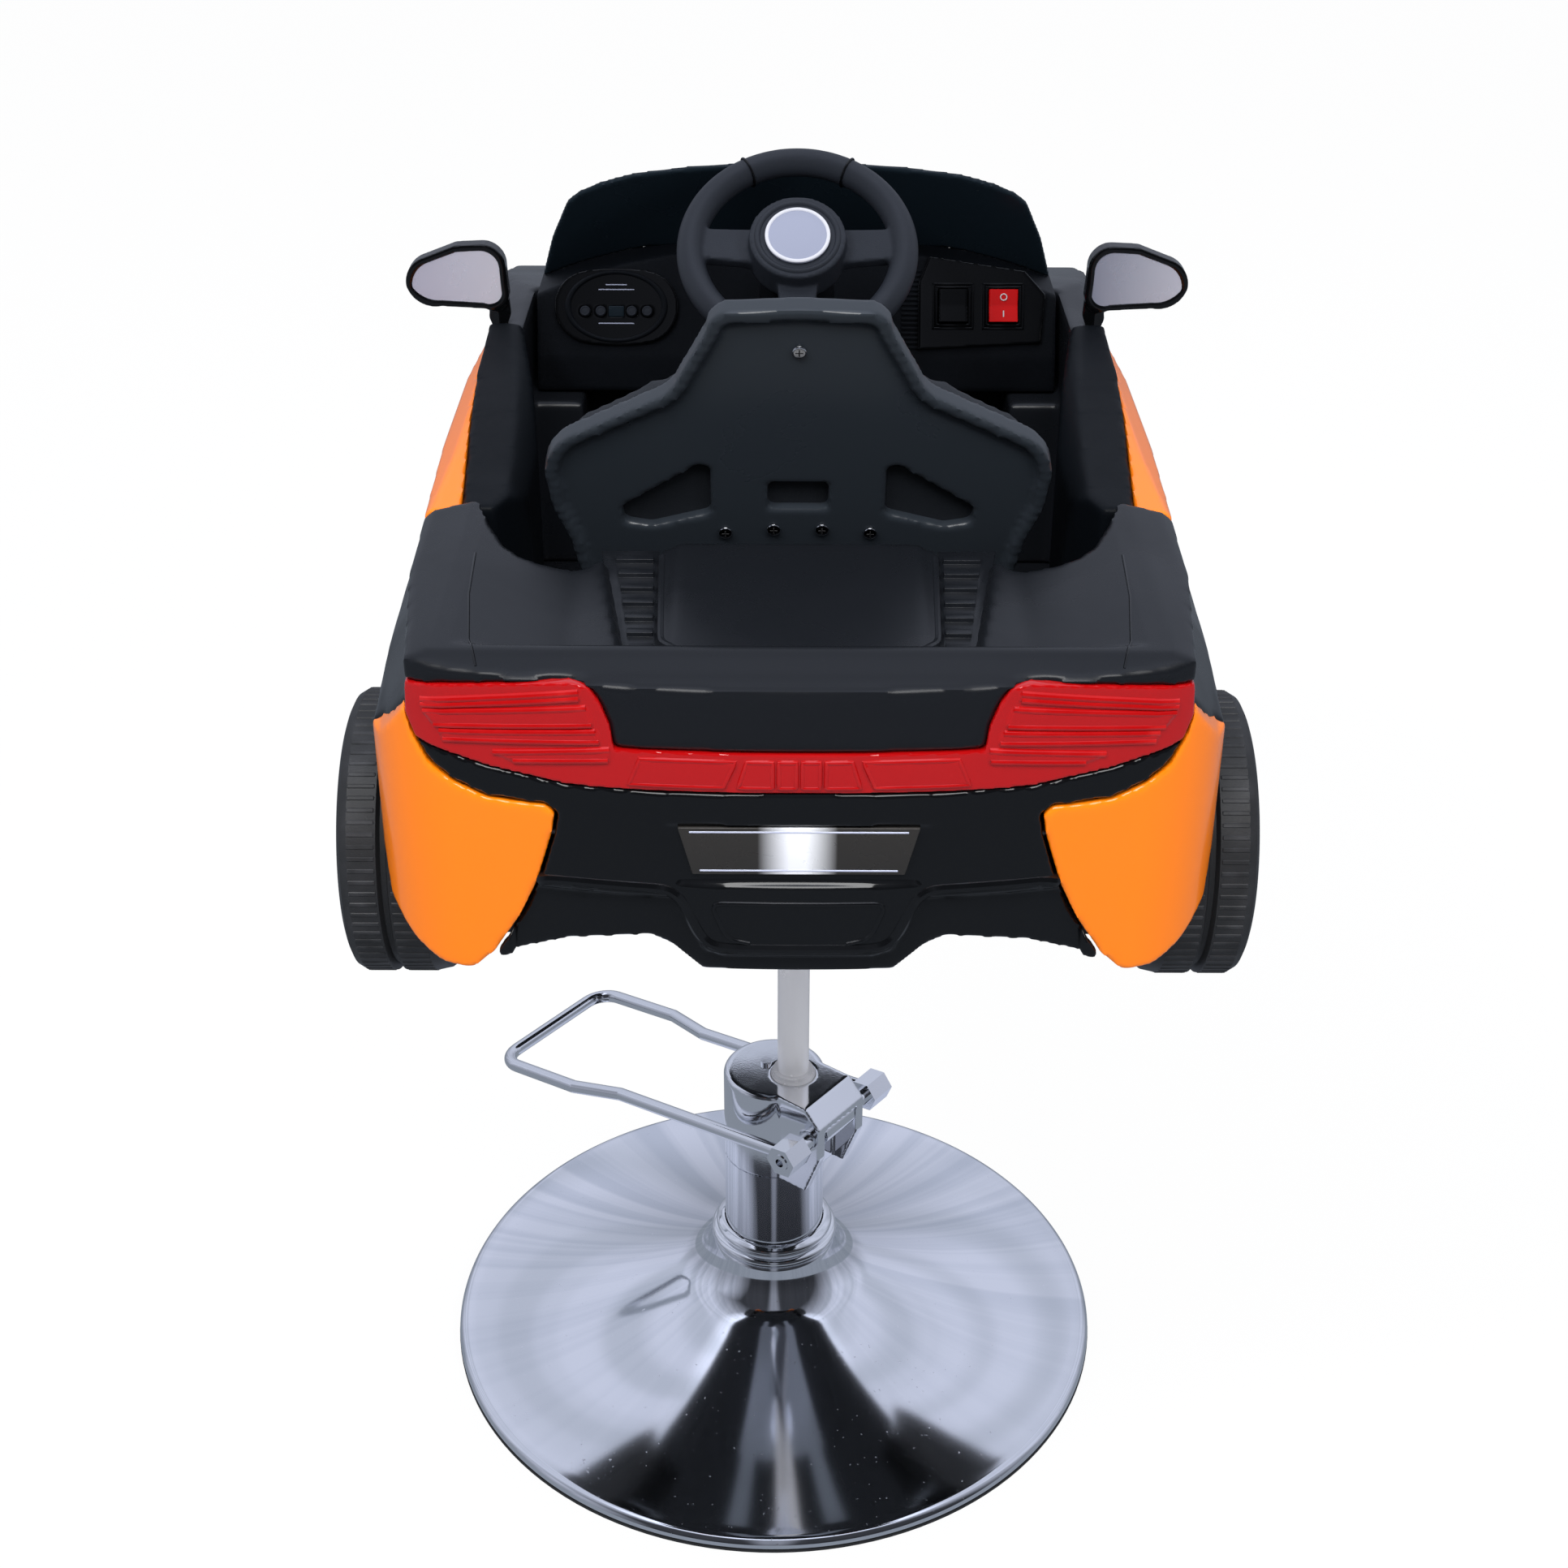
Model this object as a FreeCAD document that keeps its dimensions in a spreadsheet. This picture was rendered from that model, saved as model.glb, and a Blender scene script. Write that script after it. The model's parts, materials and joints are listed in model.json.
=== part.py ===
"""Child's ride-on car on a hydraulic pump stand, built up from its separate pieces.

Lengths are in millimetres. Z points up, Y towards the car's bonnet, X to the car's
right. The upright line X = 0, Y = 0 is the centre of the lifting ram, and Z = 0 is the
floor. Heights inside the car are counted from the lowest point of its tyres.
"""
import FreeCAD
import Part
import math
import os
import Sketcher

os.makedirs("parts", exist_ok=True)
doc = FreeCAD.newDocument("car_chair")
sheet = doc.addObject("Spreadsheet::Sheet", "sizes")
names = []
pieces = []


class Size:
    """A number together with the sheet formula that gives it."""

    def __init__(self, formula, number):
        self.formula = formula
        self.number = float(number)

    def __add__(self, other):
        return combined(self, "+", other)

    def __radd__(self, other):
        return combined(other, "+", self)

    def __sub__(self, other):
        return combined(self, "-", other)

    def __rsub__(self, other):
        return combined(other, "-", self)

    def __mul__(self, other):
        return combined(self, "*", other)

    def __rmul__(self, other):
        return combined(other, "*", self)

    def __truediv__(self, other):
        return combined(self, "/", other)

    def __neg__(self):
        return Size("-1 * (" + self.formula + ")", -self.number)


def as_size(entry):
    if isinstance(entry, Size):
        return entry
    return Size(repr(float(entry)), entry)


def combined(left, sign, right):
    left = as_size(left)
    right = as_size(right)
    number = {
        "+": lambda: left.number + right.number,
        "-": lambda: left.number - right.number,
        "*": lambda: left.number * right.number,
        "/": lambda: left.number / right.number,
    }[sign]()
    return Size("(" + left.formula + " " + sign + " " + right.formula + ")", number)


def cosine(angle):
    return Size("cos(" + angle.formula + " * 1deg)", math.cos(math.radians(angle.number)))


def sine(angle):
    return Size("sin(" + angle.formula + " * 1deg)", math.sin(math.radians(angle.number)))


def arctangent(ratio):
    formula = "(atan(" + ratio.formula + ") / 1deg)"
    return Size(formula, math.degrees(math.atan(ratio.number)))


def size(name, number):
    """Puts one named number in the sheet."""
    names.append(name)
    row = str(len(names))
    sheet.set("A" + row, name)
    sheet.set("B" + row, str(number))
    sheet.setAlias("B" + row, name)
    return Size("sizes." + name, number)


def bind(thing, path, amount):
    """Ties one property of an object to its formula."""
    thing.setExpression(path, as_size(amount).formula)


def scaled(shares, width, height):
    """Turns a table of shares into points of a width and a height."""
    points = []
    for entry in shares:
        point = (width * entry[0], height * entry[1])
        points.append(point + tuple(entry[2:]))
    return points


def both_halves(half):
    """A closed outline from its right half, which starts and ends in the middle."""
    left = [(-as_size(p[0]), p[1]) + tuple(p[2:]) for p in reversed(half[1:-1])]
    return half + left


def other_side(loop):
    """An outline mirrored in the middle line."""
    return [(-as_size(p[0]), p[1]) + tuple(p[2:]) for p in reversed(loop)]


def new_body(name):
    owner = doc.addObject("PartDesign::Body", name)
    owner.Label = name
    return owner


def constrain_point(rules, geometry, position, point):
    """Holds one sketch point at the two amounts given."""
    across = as_size(point[0])
    up = as_size(point[1])
    if across.number == 0 and up.number == 0:
        rules.append((Sketcher.Constraint("Coincident", geometry, position, -1, 1), None))
        return
    for kind, amount, axis in (("DistanceX", across, -2), ("DistanceY", up, -1)):
        if amount.number == 0:
            on_axis = Sketcher.Constraint("PointOnObject", geometry, position, axis)
            rules.append((on_axis, None))
        else:
            away = Sketcher.Constraint(kind, -1, 1, geometry, position, amount.number)
            rules.append((away, amount))


def as_vector(point):
    return FreeCAD.Vector(as_size(point[0]).number, as_size(point[1]).number, 0)


def draw_outline(sketch, rules, points, closed=True):
    """Draws lines, and arcs wherever a point is marked as the bend of one."""
    runs = []
    count = len(points)
    for place, point in enumerate(points):
        if len(point) != 2:
            continue
        after = points[(place + 1) % count]
        if len(after) == 3:
            runs.append((point, after, points[(place + 2) % count]))
        else:
            runs.append((point, None, after))
    if not closed:
        runs.pop()
    ends = []
    for start, bend, finish in runs:
        if bend is None:
            line = Part.LineSegment(as_vector(start), as_vector(finish))
            ends.append((sketch.addGeometry(line, False), 1, 2))
            continue
        circle = Part.Circle(as_vector(start), as_vector(bend), as_vector(finish))
        centre = circle.Center
        angles = []
        for point in (start, finish):
            reach = as_vector(point) - centre
            angles.append(math.atan2(reach.y, reach.x))
        middle = as_vector(bend) - centre
        turn = (math.atan2(middle.y, middle.x) - angles[0]) % math.tau
        forward = turn < (angles[1] - angles[0]) % math.tau
        if not forward:
            angles.reverse()
        if angles[1] < angles[0]:
            angles[1] += math.tau
        flat = Part.Circle(centre, FreeCAD.Vector(0, 0, 1), circle.Radius)
        arc = sketch.addGeometry(Part.ArcOfCircle(flat, angles[0], angles[1]), False)
        ends.append((arc, 1, 2) if forward else (arc, 2, 1))
    for place, (start, bend, finish) in enumerate(runs):
        geometry, first, last = ends[place]
        constrain_point(rules, geometry, first, start)
        if closed or place + 1 < len(runs):
            following = ends[(place + 1) % len(ends)]
            joint = Sketcher.Constraint("Coincident", geometry, last, following[0], following[1])
            rules.append((joint, None))
        else:
            constrain_point(rules, geometry, last, finish)
        if bend is not None:
            mark = sketch.addGeometry(Part.Point(as_vector(bend)), True)
            constrain_point(rules, mark, 1, bend)
            rules.append((Sketcher.Constraint("PointOnObject", mark, 1, geometry), None))


def draw_circle(sketch, rules, across, up, radius):
    centre = FreeCAD.Vector(as_size(across).number, as_size(up).number, 0)
    circle = Part.Circle(centre, FreeCAD.Vector(0, 0, 1), as_size(radius).number)
    geometry = sketch.addGeometry(circle, False)
    constrain_point(rules, geometry, 3, (across, up))
    round_size = Sketcher.Constraint("Radius", geometry, as_size(radius).number)
    rules.append((round_size, as_size(radius)))


def new_sketch(owner, role, loops, lift=0, closed=True):
    """A sketch on one of the body's own planes; a loop is an outline or a circle."""
    sketch = owner.newObject("Sketcher::SketchObject", owner.Name + "_sketch")
    plane = [f for f in owner.Origin.OriginFeatures if f.Role == role][0]
    sketch.AttachmentSupport = [(plane, "")]
    sketch.MapMode = "FlatFace"
    if as_size(lift).number != 0:
        bind(sketch, "AttachmentOffset.Base.z", lift)
    rules = []
    for loop in loops:
        if isinstance(loop, tuple):
            draw_circle(sketch, rules, loop[0], loop[1], loop[2])
        else:
            draw_outline(sketch, rules, loop, closed)
    sketch.addConstraint([rule[0] for rule in rules])
    for index, rule in enumerate(rules):
        if rule[1] is not None:
            bind(sketch, "Constraints[" + str(index) + "]", rule[1])
    return sketch


def pad(owner, sketch, length, kind="PartDesign::Pad"):
    feature = owner.newObject(kind, owner.Name + "_" + kind[12:].lower())
    feature.Profile = sketch
    bind(feature, "Length", length)
    owner.Tip = feature
    return feature


def slab_z(name, loops, low, high):
    """A plate seen from above, between two heights."""
    owner = new_body(name)
    sketch = new_sketch(owner, "XY_Plane", loops, low)
    pad(owner, sketch, high - low)
    return owner


def slab_x(name, loops, left, right):
    """A plate seen from the side, between two distances to the right."""
    owner = new_body(name)
    sketch = new_sketch(owner, "YZ_Plane", loops, left)
    pad(owner, sketch, right - left)
    return owner


def slab_y(name, loops, back, front):
    """A plate seen from behind, between two distances forward."""
    owner = new_body(name)
    sketch = new_sketch(owner, "XZ_Plane", loops, -as_size(front))
    pad(owner, sketch, front - back)
    return owner


def spun(name, loops):
    """A form turned about its own upright line; outlines are radius and height."""
    owner = new_body(name)
    sketch = new_sketch(owner, "XZ_Plane", loops)
    feature = owner.newObject("PartDesign::Revolution", name + "_turn")
    feature.Profile = sketch
    feature.ReferenceAxis = (sketch, ["V_Axis"])
    feature.Angle = 360
    owner.Tip = feature
    return owner


def fused(name, parts):
    result = doc.addObject("Part::MultiFuse", name)
    result.Label = name
    result.Shapes = parts
    return result


def shared(name, parts):
    """What two or more forms have in common."""
    result = doc.addObject("Part::MultiCommon", name)
    result.Label = name
    result.Shapes = parts
    return result


def less(name, base, tools):
    """One form with the others taken away from it, one after another."""
    for number, tool in enumerate(tools):
        last = number + 1 == len(tools)
        label = name if last else name + "_cut_" + str(number + 1)
        result = doc.addObject("Part::Cut", label)
        result.Label = label
        result.Base = base
        result.Tool = tool
        base = result
    return result


def flipped(name, source):
    """The same form on the other side of the middle."""
    result = doc.addObject("Part::Mirroring", name)
    result.Label = name
    result.Source = source
    result.Normal = FreeCAD.Vector(1, 0, 0)
    return result


def place(thing, across=0, forward=0, up=0, yaw=0, pitch=0, roll=0):
    """Moves and turns an object; angles are in degrees about Z, then Y, then X."""
    parts = [as_size(n).formula for n in (across, forward, up, yaw, pitch, roll)]
    spot = "create(<<vector>>; " + "; ".join(parts[:3]) + ")"
    turn = "create(<<rotation>>; " + "; ".join(parts[3:]) + ")"
    thing.setExpression("Placement", "create(<<placement>>; " + spot + "; " + turn + ")")
    return thing


def box(left, right, low, high):
    """A rectangle as an outline."""
    return [(left, low), (right, low), (right, high), (left, high)]


def piece(thing):
    pieces.append(thing)
    return thing


# Base: floor ring, cast plate and bright trumpet cover
pump_left = size("pump_left", 17)
pump_forward = size("pump_forward", 8)
base_radius = size("base_radius", 300)
base_height = size("base_height", 98)
cover_sheet = size("cover_sheet", 3)
tube_radius = size("tube_radius", 45.5)
tube_wall = size("tube_wall", 3)
plate_edge = size("plate_edge", 12)
ring_height = size("ring_height", 2)
plate_thickness = size("plate_thickness", 6)
tube_seat = size("tube_seat", 12)
boss_height = size("boss_height", 40)
boss_wall = size("boss_wall", 16)
collar_height = size("collar_height", 20)
collar_radius = size("collar_radius", 59)
head_low = size("head_low", 196)
head_top = size("head_top", 286.7)
head_round = size("head_round", 5)

cover_shares = [
    (0.995, 0.0969, "bend"), (0.9667, 0.1224), (0.6, 0.2755, "bend"), (0.3067, 0.5612),
    (0.22, 0.7551, "bend"), (0.1867, 1)]
cover_outer = scaled(cover_shares, base_radius, base_height)
cover_inner = [(p[0], p[1] - cover_sheet) + tuple(p[2:]) for p in reversed(cover_outer)]
cover = spun("base_cover", [
    [(base_radius, ring_height), (base_radius, plate_thickness)]
    + cover_outer
    + [(tube_radius, base_height), (tube_radius, base_height - cover_sheet)]
    + cover_inner
    + [(base_radius - cover_sheet, plate_thickness), (base_radius - cover_sheet, ring_height)]])
piece(place(cover, -pump_left, pump_forward))

floor_ring = spun("floor_ring", [[
    (base_radius - plate_edge, 0),
    (base_radius, 0),
    (base_radius, ring_height),
    (base_radius - cover_sheet, ring_height),
    (base_radius - cover_sheet, plate_thickness),
    (base_radius - plate_edge, plate_thickness)]])
piece(place(floor_ring, -pump_left, pump_forward))

plate_slope_share = 0.62
base_plate = spun("base_plate", [[
    (0, 0),
    (base_radius - plate_edge, 0),
    (base_radius - plate_edge, plate_thickness),
    (tube_radius + boss_wall + boss_height, tube_seat),
    (tube_radius + boss_wall, boss_height * plate_slope_share),
    (tube_radius + boss_wall, boss_height),
    (tube_radius, boss_height),
    (tube_radius, tube_seat),
    (0, tube_seat)]])
piece(place(base_plate, -pump_left, pump_forward))

pump_tube = slab_z("pump_tube", [(0, 0, tube_radius), (0, 0, tube_radius - tube_wall)],
                   tube_seat, head_low)
piece(place(pump_tube, -pump_left, pump_forward))

bead = collar_height / 4
neck_collar = spun("neck_collar", [[
    (tube_radius, base_height),
    (collar_radius - bead * 0.6, base_height),
    (collar_radius, base_height + bead, "bend"),
    (collar_radius - bead, base_height + bead * 2),
    (collar_radius - bead * 0.4, base_height + bead * 2.8, "bend"),
    (collar_radius - bead * 1.5, base_height + bead * 3.5),
    (tube_radius, base_height + bead * 4)]])
piece(place(neck_collar, -pump_left, pump_forward))

# Pump head with its pedal nose; the nose is drawn along X and turned to its heading
nose_heading = size("nose_heading", -38)
nose_width = size("nose_width", 66)
nose_reach = size("nose_reach", 76)
nose_flat = size("nose_flat", 60)
nose_drop = size("nose_drop", 17)
hinge_reach = size("hinge_reach", 64)
hinge_height = size("hinge_height", 256)
shaft_radius = size("shaft_radius", 8)
running_gap = size("running_gap", 0.05)
cheek_gap = size("cheek_gap", 0.3)
cheek_width = size("cheek_width", 10)
slot_back = size("slot_back", 50)
slot_top = size("slot_top", 270)
ram_radius = size("ram_radius", 14)
barrel_radius = size("barrel_radius", 20)
seal_radius = size("seal_radius", 18)
seal_height = size("seal_height", 5)
overrun = size("overrun", 10)

head_core = spun("head_core", [[
    (0, head_low),
    (tube_radius, head_low),
    (tube_radius, head_top - head_round),
    (tube_radius - head_round * 0.3, head_top - head_round * 0.3, "bend"),
    (tube_radius - head_round, head_top),
    (0, head_top)]])
nose_chin_share = 0.45
nose = slab_y("head_nose", [[
    (0, head_low),
    (nose_reach * 0.8, head_low),
    (nose_reach, head_low + (head_top - head_low) * nose_chin_share),
    (nose_reach, head_top - nose_drop),
    (nose_flat, head_top),
    (0, head_top)]], -nose_width / 2, nose_width / 2)
place(nose, 0, 0, 0, nose_heading)
slot_half = nose_width / 2 - cheek_width
nose_slot = slab_y("nose_slot", [[
    (slot_back, head_low - overrun),
    (nose_reach + overrun, head_low - overrun),
    (nose_reach + overrun, hinge_height),
    (nose_reach - nose_drop / 2, slot_top),
    (slot_back, slot_top)]], -slot_half, slot_half)
place(nose_slot, 0, 0, 0, nose_heading)
shaft_bore = slab_y("shaft_bore", [(hinge_reach, hinge_height, shaft_radius + running_gap)],
                    -nose_width, nose_width)
place(shaft_bore, 0, 0, 0, nose_heading)
barrel_bore = slab_z("barrel_bore", [(pump_left, -pump_forward, barrel_radius)],
                     head_low - overrun, head_top + overrun)
pump_head = less("pump_head", fused("head_solid", [head_core, nose]),
                 [nose_slot, shaft_bore, barrel_bore])
piece(place(pump_head, -pump_left, pump_forward))

piece(slab_z("pump_barrel", [(0, 0, barrel_radius), (0, 0, ram_radius + running_gap)],
             tube_seat, head_top))
piece(slab_z("ram_seal", [(0, 0, seal_radius), (0, 0, ram_radius + running_gap)],
             head_top, head_top + seal_height))
filler_radius = size("filler_radius", 5)
filler_left = size("filler_left", 20)
filler_forward = size("filler_forward", 14)
filler_height = size("filler_height", 3)
filler = slab_z("filler_screw", [(0, 0, filler_radius)], head_top, head_top + filler_height)
piece(place(filler, -filler_left - pump_left / 4, filler_forward))

# Foot pedal: shaft, bar with its hubs, and the cam between the cheeks
pedal_heading = nose_heading + 180
pedal_fall = size("pedal_fall", 8)
pedal_length = size("pedal_length", 345)
pedal_half = size("pedal_half", 60)
pedal_flare = size("pedal_flare", 12)
pedal_bar_radius = size("pedal_bar_radius", 6)
pedal_corner = size("pedal_corner", 22)
hub_radius = size("hub_radius", 15)
hub_width = size("hub_width", 26)
shaft_half = size("shaft_half", 74)
shaft_hollow = size("shaft_hollow", 4)
hollow_depth = size("hollow_depth", 12)
flare_start_share = 0.58
flare_end_share = 0.72
corner_in_share = 0.293


def at_hinge(thing):
    """Sets a pedal piece on its hinge line."""
    reach_x = hinge_reach * cosine(nose_heading)
    reach_y = hinge_reach * sine(nose_heading)
    return place(thing, reach_x - pump_left, reach_y + pump_forward, hinge_height,
                 pedal_heading, pedal_fall, 0)


shaft_solid = slab_y("shaft_solid", [(0, 0, shaft_radius)], -shaft_half, shaft_half)
hollow_near = slab_y("hollow_near", [(0, 0, shaft_hollow)], -shaft_half - overrun,
                     -shaft_half + hollow_depth)
hollow_far = slab_y("hollow_far", [(0, 0, shaft_hollow)], shaft_half - hollow_depth,
                    shaft_half + overrun)
cam_radius = size("cam_radius", 12)
cam_width = size("cam_width", 40)
cam_solid = slab_y("cam_solid", [(0, 0, cam_radius)], -cam_width / 2, cam_width / 2)
piece(at_hinge(less("pedal_shaft", fused("shaft_and_cam", [shaft_solid, cam_solid]),
                    [hollow_near, hollow_far])))

wide = pedal_half + pedal_flare
inset = pedal_corner * corner_in_share
bar = new_body("pedal_loop")
bar_path = new_sketch(bar, "XY_Plane", [[
    (0, -pedal_half),
    (pedal_length * flare_start_share, -pedal_half),
    (pedal_length * flare_end_share, -wide),
    (pedal_length - pedal_corner, -wide),
    (pedal_length - inset, -wide + inset, "bend"),
    (pedal_length, -wide + pedal_corner),
    (pedal_length, wide - pedal_corner),
    (pedal_length - inset, wide - inset, "bend"),
    (pedal_length - pedal_corner, wide),
    (pedal_length * flare_end_share, wide),
    (pedal_length * flare_start_share, pedal_half),
    (0, pedal_half)]], 0, False)
bar_round = new_sketch(bar, "YZ_Plane", [(-pedal_half, 0, pedal_bar_radius)])
bar_pipe = bar.newObject("PartDesign::AdditivePipe", "pedal_loop_pipe")
bar_pipe.Profile = bar_round
bar_pipe.Spine = (bar_path, [])
bar_pipe.Transition = "Round corner"
bar.Tip = bar_pipe
hexagon_shares = [(1, 0), (0.5, 0.866), (-0.5, 0.866), (-1, 0), (-0.5, -0.866), (0.5, -0.866)]
hub_points = scaled(hexagon_shares, hub_radius, hub_radius)
hub_near = slab_y("hub_near", [hub_points], -pedal_half - hub_width / 2,
                  -pedal_half + hub_width / 2)
hub_far = slab_y("hub_far", [hub_points], pedal_half - hub_width / 2,
                 pedal_half + hub_width / 2)
hub_bore = slab_y("hub_bore", [(0, 0, shaft_radius)], -shaft_half - overrun,
                  shaft_half + overrun)
piece(at_hinge(less("pedal_bar", fused("pedal_bar_solid", [bar, hub_near, hub_far]),
                    [hub_bore])))

# Ram and the socket that turns on its top
ram_bottom = size("ram_bottom", 150)
ram_top = size("ram_top", 640)
socket_low = size("socket_low", 560)
socket_wall = size("socket_wall", 10)
flange_level = size("flange_level", 681)
flange_thickness = size("flange_thickness", 8)
flange_half = size("flange_half", 90)
rail_height = size("rail_height", 12)
rail_half = size("rail_half", 14)
rail_across = size("rail_across", 70)
rail_back = size("rail_back", -190)
rail_front = size("rail_front", 230)
piece(slab_z("ram_rod", [(0, 0, ram_radius)], ram_bottom, ram_top))
socket_foot = size("socket_foot", 34)
socket_solid = spun("socket_solid", [[
    (0, socket_low),
    (ram_radius + socket_wall, socket_low),
    (ram_radius + socket_wall, ram_top),
    (socket_foot, flange_level),
    (0, flange_level)]])
socket_bore = slab_z("socket_bore", [(0, 0, ram_radius + running_gap)],
                     socket_low - overrun, ram_top)
piece(less("ram_socket", socket_solid, [socket_bore]))
swivel_plate = slab_z("swivel_plate", [box(-flange_half, flange_half, -flange_half,
                                           flange_half)],
                      flange_level, flange_level + flange_thickness)
rail_low = flange_level + flange_thickness
rail_left = slab_z("rail_left", [box(-rail_across - rail_half, -rail_across + rail_half,
                                     rail_back, rail_front)], rail_low, rail_low + rail_height)
rail_right = slab_z("rail_right", [box(rail_across - rail_half, rail_across + rail_half,
                                       rail_back, rail_front)], rail_low, rail_low + rail_height)
piece(fused("mount_frame", [swivel_plate, rail_left, rail_right]))

# Car envelope, seen from above, from the side and from behind
car_level = size("car_level", 631)
side_reach = size("side_reach", 264)
rear_reach = size("rear_reach", 475)
front_reach = size("front_reach", 575)
deck_height = size("deck_height", 297)
sill_bottom = size("sill_bottom", 80)
panel = size("panel", 8)
axle_height = size("axle_height", 96)
rear_axle_back = size("rear_axle_back", 310)
front_axle_forward = size("front_axle_forward", 300)


def in_car(thing, across=0, forward=0, up=0, yaw=0, pitch=0, roll=0):
    """Places a piece whose heights are counted from the tyres' lowest point."""
    return place(thing, across, forward, car_level + up, yaw, pitch, roll)


rear_plan_shares = [
    (0, -1, "bend"), (0.7765, -0.9579), (0.9205, -0.9221, "bend"), (1, -0.8463)]
rear_outer = scaled(rear_plan_shares, side_reach, rear_reach)
inset_shares = (0.7, 0.8)


def inset_rear(depth, middle_depth):
    """The tail line moved inward by a depth, or outward by a negative one."""
    line = [(0, -rear_reach - middle_depth, "bend")]
    for corner in rear_outer[1:]:
        moved = (corner[0] - depth * inset_shares[0], corner[1] + depth * inset_shares[1])
        line.append(moved + tuple(corner[2:]))
    return line


rear_inner = inset_rear(panel, -panel)
rear_inner[-1] = (side_reach - panel, rear_outer[-1][1])
proud = size("proud", 1.2)
rear_proud = inset_rear(-proud, proud)


def whole_rear(half):
    """Both sides of a rear line, from left to right."""
    left = [(-as_size(p[0]), p[1]) + tuple(p[2:]) for p in reversed(half[1:])]
    return left + half


def rear_band(name, outlines, outer=rear_outer, front=None):
    """A curved panel at the tail: an outline from behind, as thick as the panel."""
    ring = slab_z(name + "_ring", [whole_rear(outer) + list(reversed(whole_rear(rear_inner)))],
                  0, deck_height + overrun)
    face = slab_y(name + "_face", outlines, -rear_reach - overrun, 0)
    return shared(name + "_band", [face, ring])


side_shares = [
    (1.0114, -0.5739), (1.0038, -0.087), (0.9924, 0.2609), (1, 0.5217), (0.9924, 0.7478),
    (0.9091, 0.887), (0.7576, 0.9478)]
side_points = scaled(side_shares, side_reach, front_reach)
side_points = [(p[0], p[1]) for p in side_points]
plan_right = rear_inner[1:] + [rear_outer[-1]] + side_points
plan_left = [(-as_size(p[0]), p[1]) + tuple(p[2:]) for p in reversed(plan_right)]
plan = plan_right + [(0, front_reach, "bend")] + plan_left + [(0, panel - rear_reach, "bend")]
section_shares = [
    (0, 1), (0.8409, 1), (0.9318, 0.9798), (0.9848, 0.9428), (1.0076, 0.8822), (1.0114, 0.7239),
    (1.0076, 0.4377), (0.9962, 0.3199), (0.9659, 0.2694)]
section_half = scaled(section_shares, side_reach, deck_height)
section = section_half + other_side(section_half[1:])
profile_shares = [
    (-0.8261, 0.2694), (-0.8261, 1), (0.2643, 1.0303), (0.3478, 1.0236), (0.4348, 1.0034),
    (0.5739, 0.9562), (0.7478, 0.8822), (0.9043, 0.7475), (0.9739, 0.5892), (1, 0.404),
    (0.9826, 0.2694)]
profile = scaled(profile_shares, front_reach, deck_height)


shoulder_shares = [
    (0.8561, -1.0737), (0.947, -0.6526), (1.0038, 0.0716), (0.9583, 0.3137), (0.9773, 0.6737)]
shoulder_line = scaled(shoulder_shares, side_reach, rear_reach)
flare_shares = [
    (0, 1.1448), (0, 0.8889), (0.0758, 0.7811), (0.2652, 0.7475), (0.2652, 1.1448)]
flare_section = scaled(flare_shares, side_reach, deck_height)


def shoulder(name, start, finish):
    """Room outside one straight stretch of the shoulder, above the flare of the side."""
    run = finish[1] - start[1]
    turn = arctangent((start[0] - finish[0]) / run)
    room = slab_y(name, [flare_section], -overrun, run / cosine(turn) + overrun)
    return place(room, start[0], start[1], 0, turn)


shoulder_parts = []
for number in range(len(shoulder_line) - 1):
    shoulder_parts.append(shoulder("shoulder_" + str(number + 1), shoulder_line[number],
                                   shoulder_line[number + 1]))
shoulder_right = fused("shoulder_right", shoulder_parts)
shoulder_rooms = [shoulder_right, flipped("shoulder_left", shoulder_right)]
from_above = slab_z("from_above", [plan], 0, deck_height * 1.2)
from_side = slab_x("from_side", [profile], -side_reach - overrun * 2,
                   side_reach + overrun * 2)
from_back = slab_y("from_back", [section], -rear_reach - overrun, front_reach + overrun)
car_form = less("car_form", shared("car_block", [from_above, from_side, from_back]),
                shoulder_rooms)

# Openings in the body: seats, doorways, wheel arches, hollow tail and nose
cockpit_half = size("cockpit_half", 222)
cockpit_back = size("cockpit_back", 250)
cockpit_front = size("cockpit_front", 250)
bulkhead = size("bulkhead", 6)
well_clearance = size("well_clearance", 8)
tyre_radius = size("tyre_radius", 96)
front_well_extra = size("front_well_extra", 22)
well_inside = size("well_inside", 206)
arch_half = size("arch_half", 178)
arch_back = size("arch_back", 165)
arch_top = size("arch_top", 226)
pan_thickness = size("pan_thickness", 10)
door_length = size("door_length", 210)
door_front = size("door_front", 148)
door_bottom = size("door_bottom", 104)
door_line_shares = [
    (-1, 0.9697), (-1, 0.7239), (-0.9333, 0.5387), (-0.8, 0.3502), (0.7048, 0.3502),
    (0.7048, 1.0168)]
door_line = scaled(door_line_shares, door_length, deck_height)
doorway_shares = [
    (-1.0143, 1.1448), (-1.0143, 0.7205), (-0.9476, 0.532), (-0.8143, 0.3434), (0.7238, 0.3434),
    (0.7238, 1.1448)]
doorway_line = scaled(doorway_shares, door_length, deck_height)

hollow_back_shares = [
    (-0.9705, 0.202), (-0.9705, 0.8418), (-0.9263, 0.8822), (-0.6316, 0.8721),
    (-0.6316, 0.6936), (-0.5389, 0.6936), (-0.5389, 0.202)]
hollow_middle_shares = [
    (-0.6526, 0.6397), (-0.6526, 0.8721), (-0.5389, 0.8687), (-0.5389, 0.6397)]
hollow_front_shares = [
    (0.4452, 0.202), (0.4452, 0.9562), (0.5739, 0.9158), (0.7391, 0.8485), (0.887, 0.7205),
    (0.9496, 0.5724), (0.9739, 0.3973), (0.9652, 0.202)]


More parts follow.
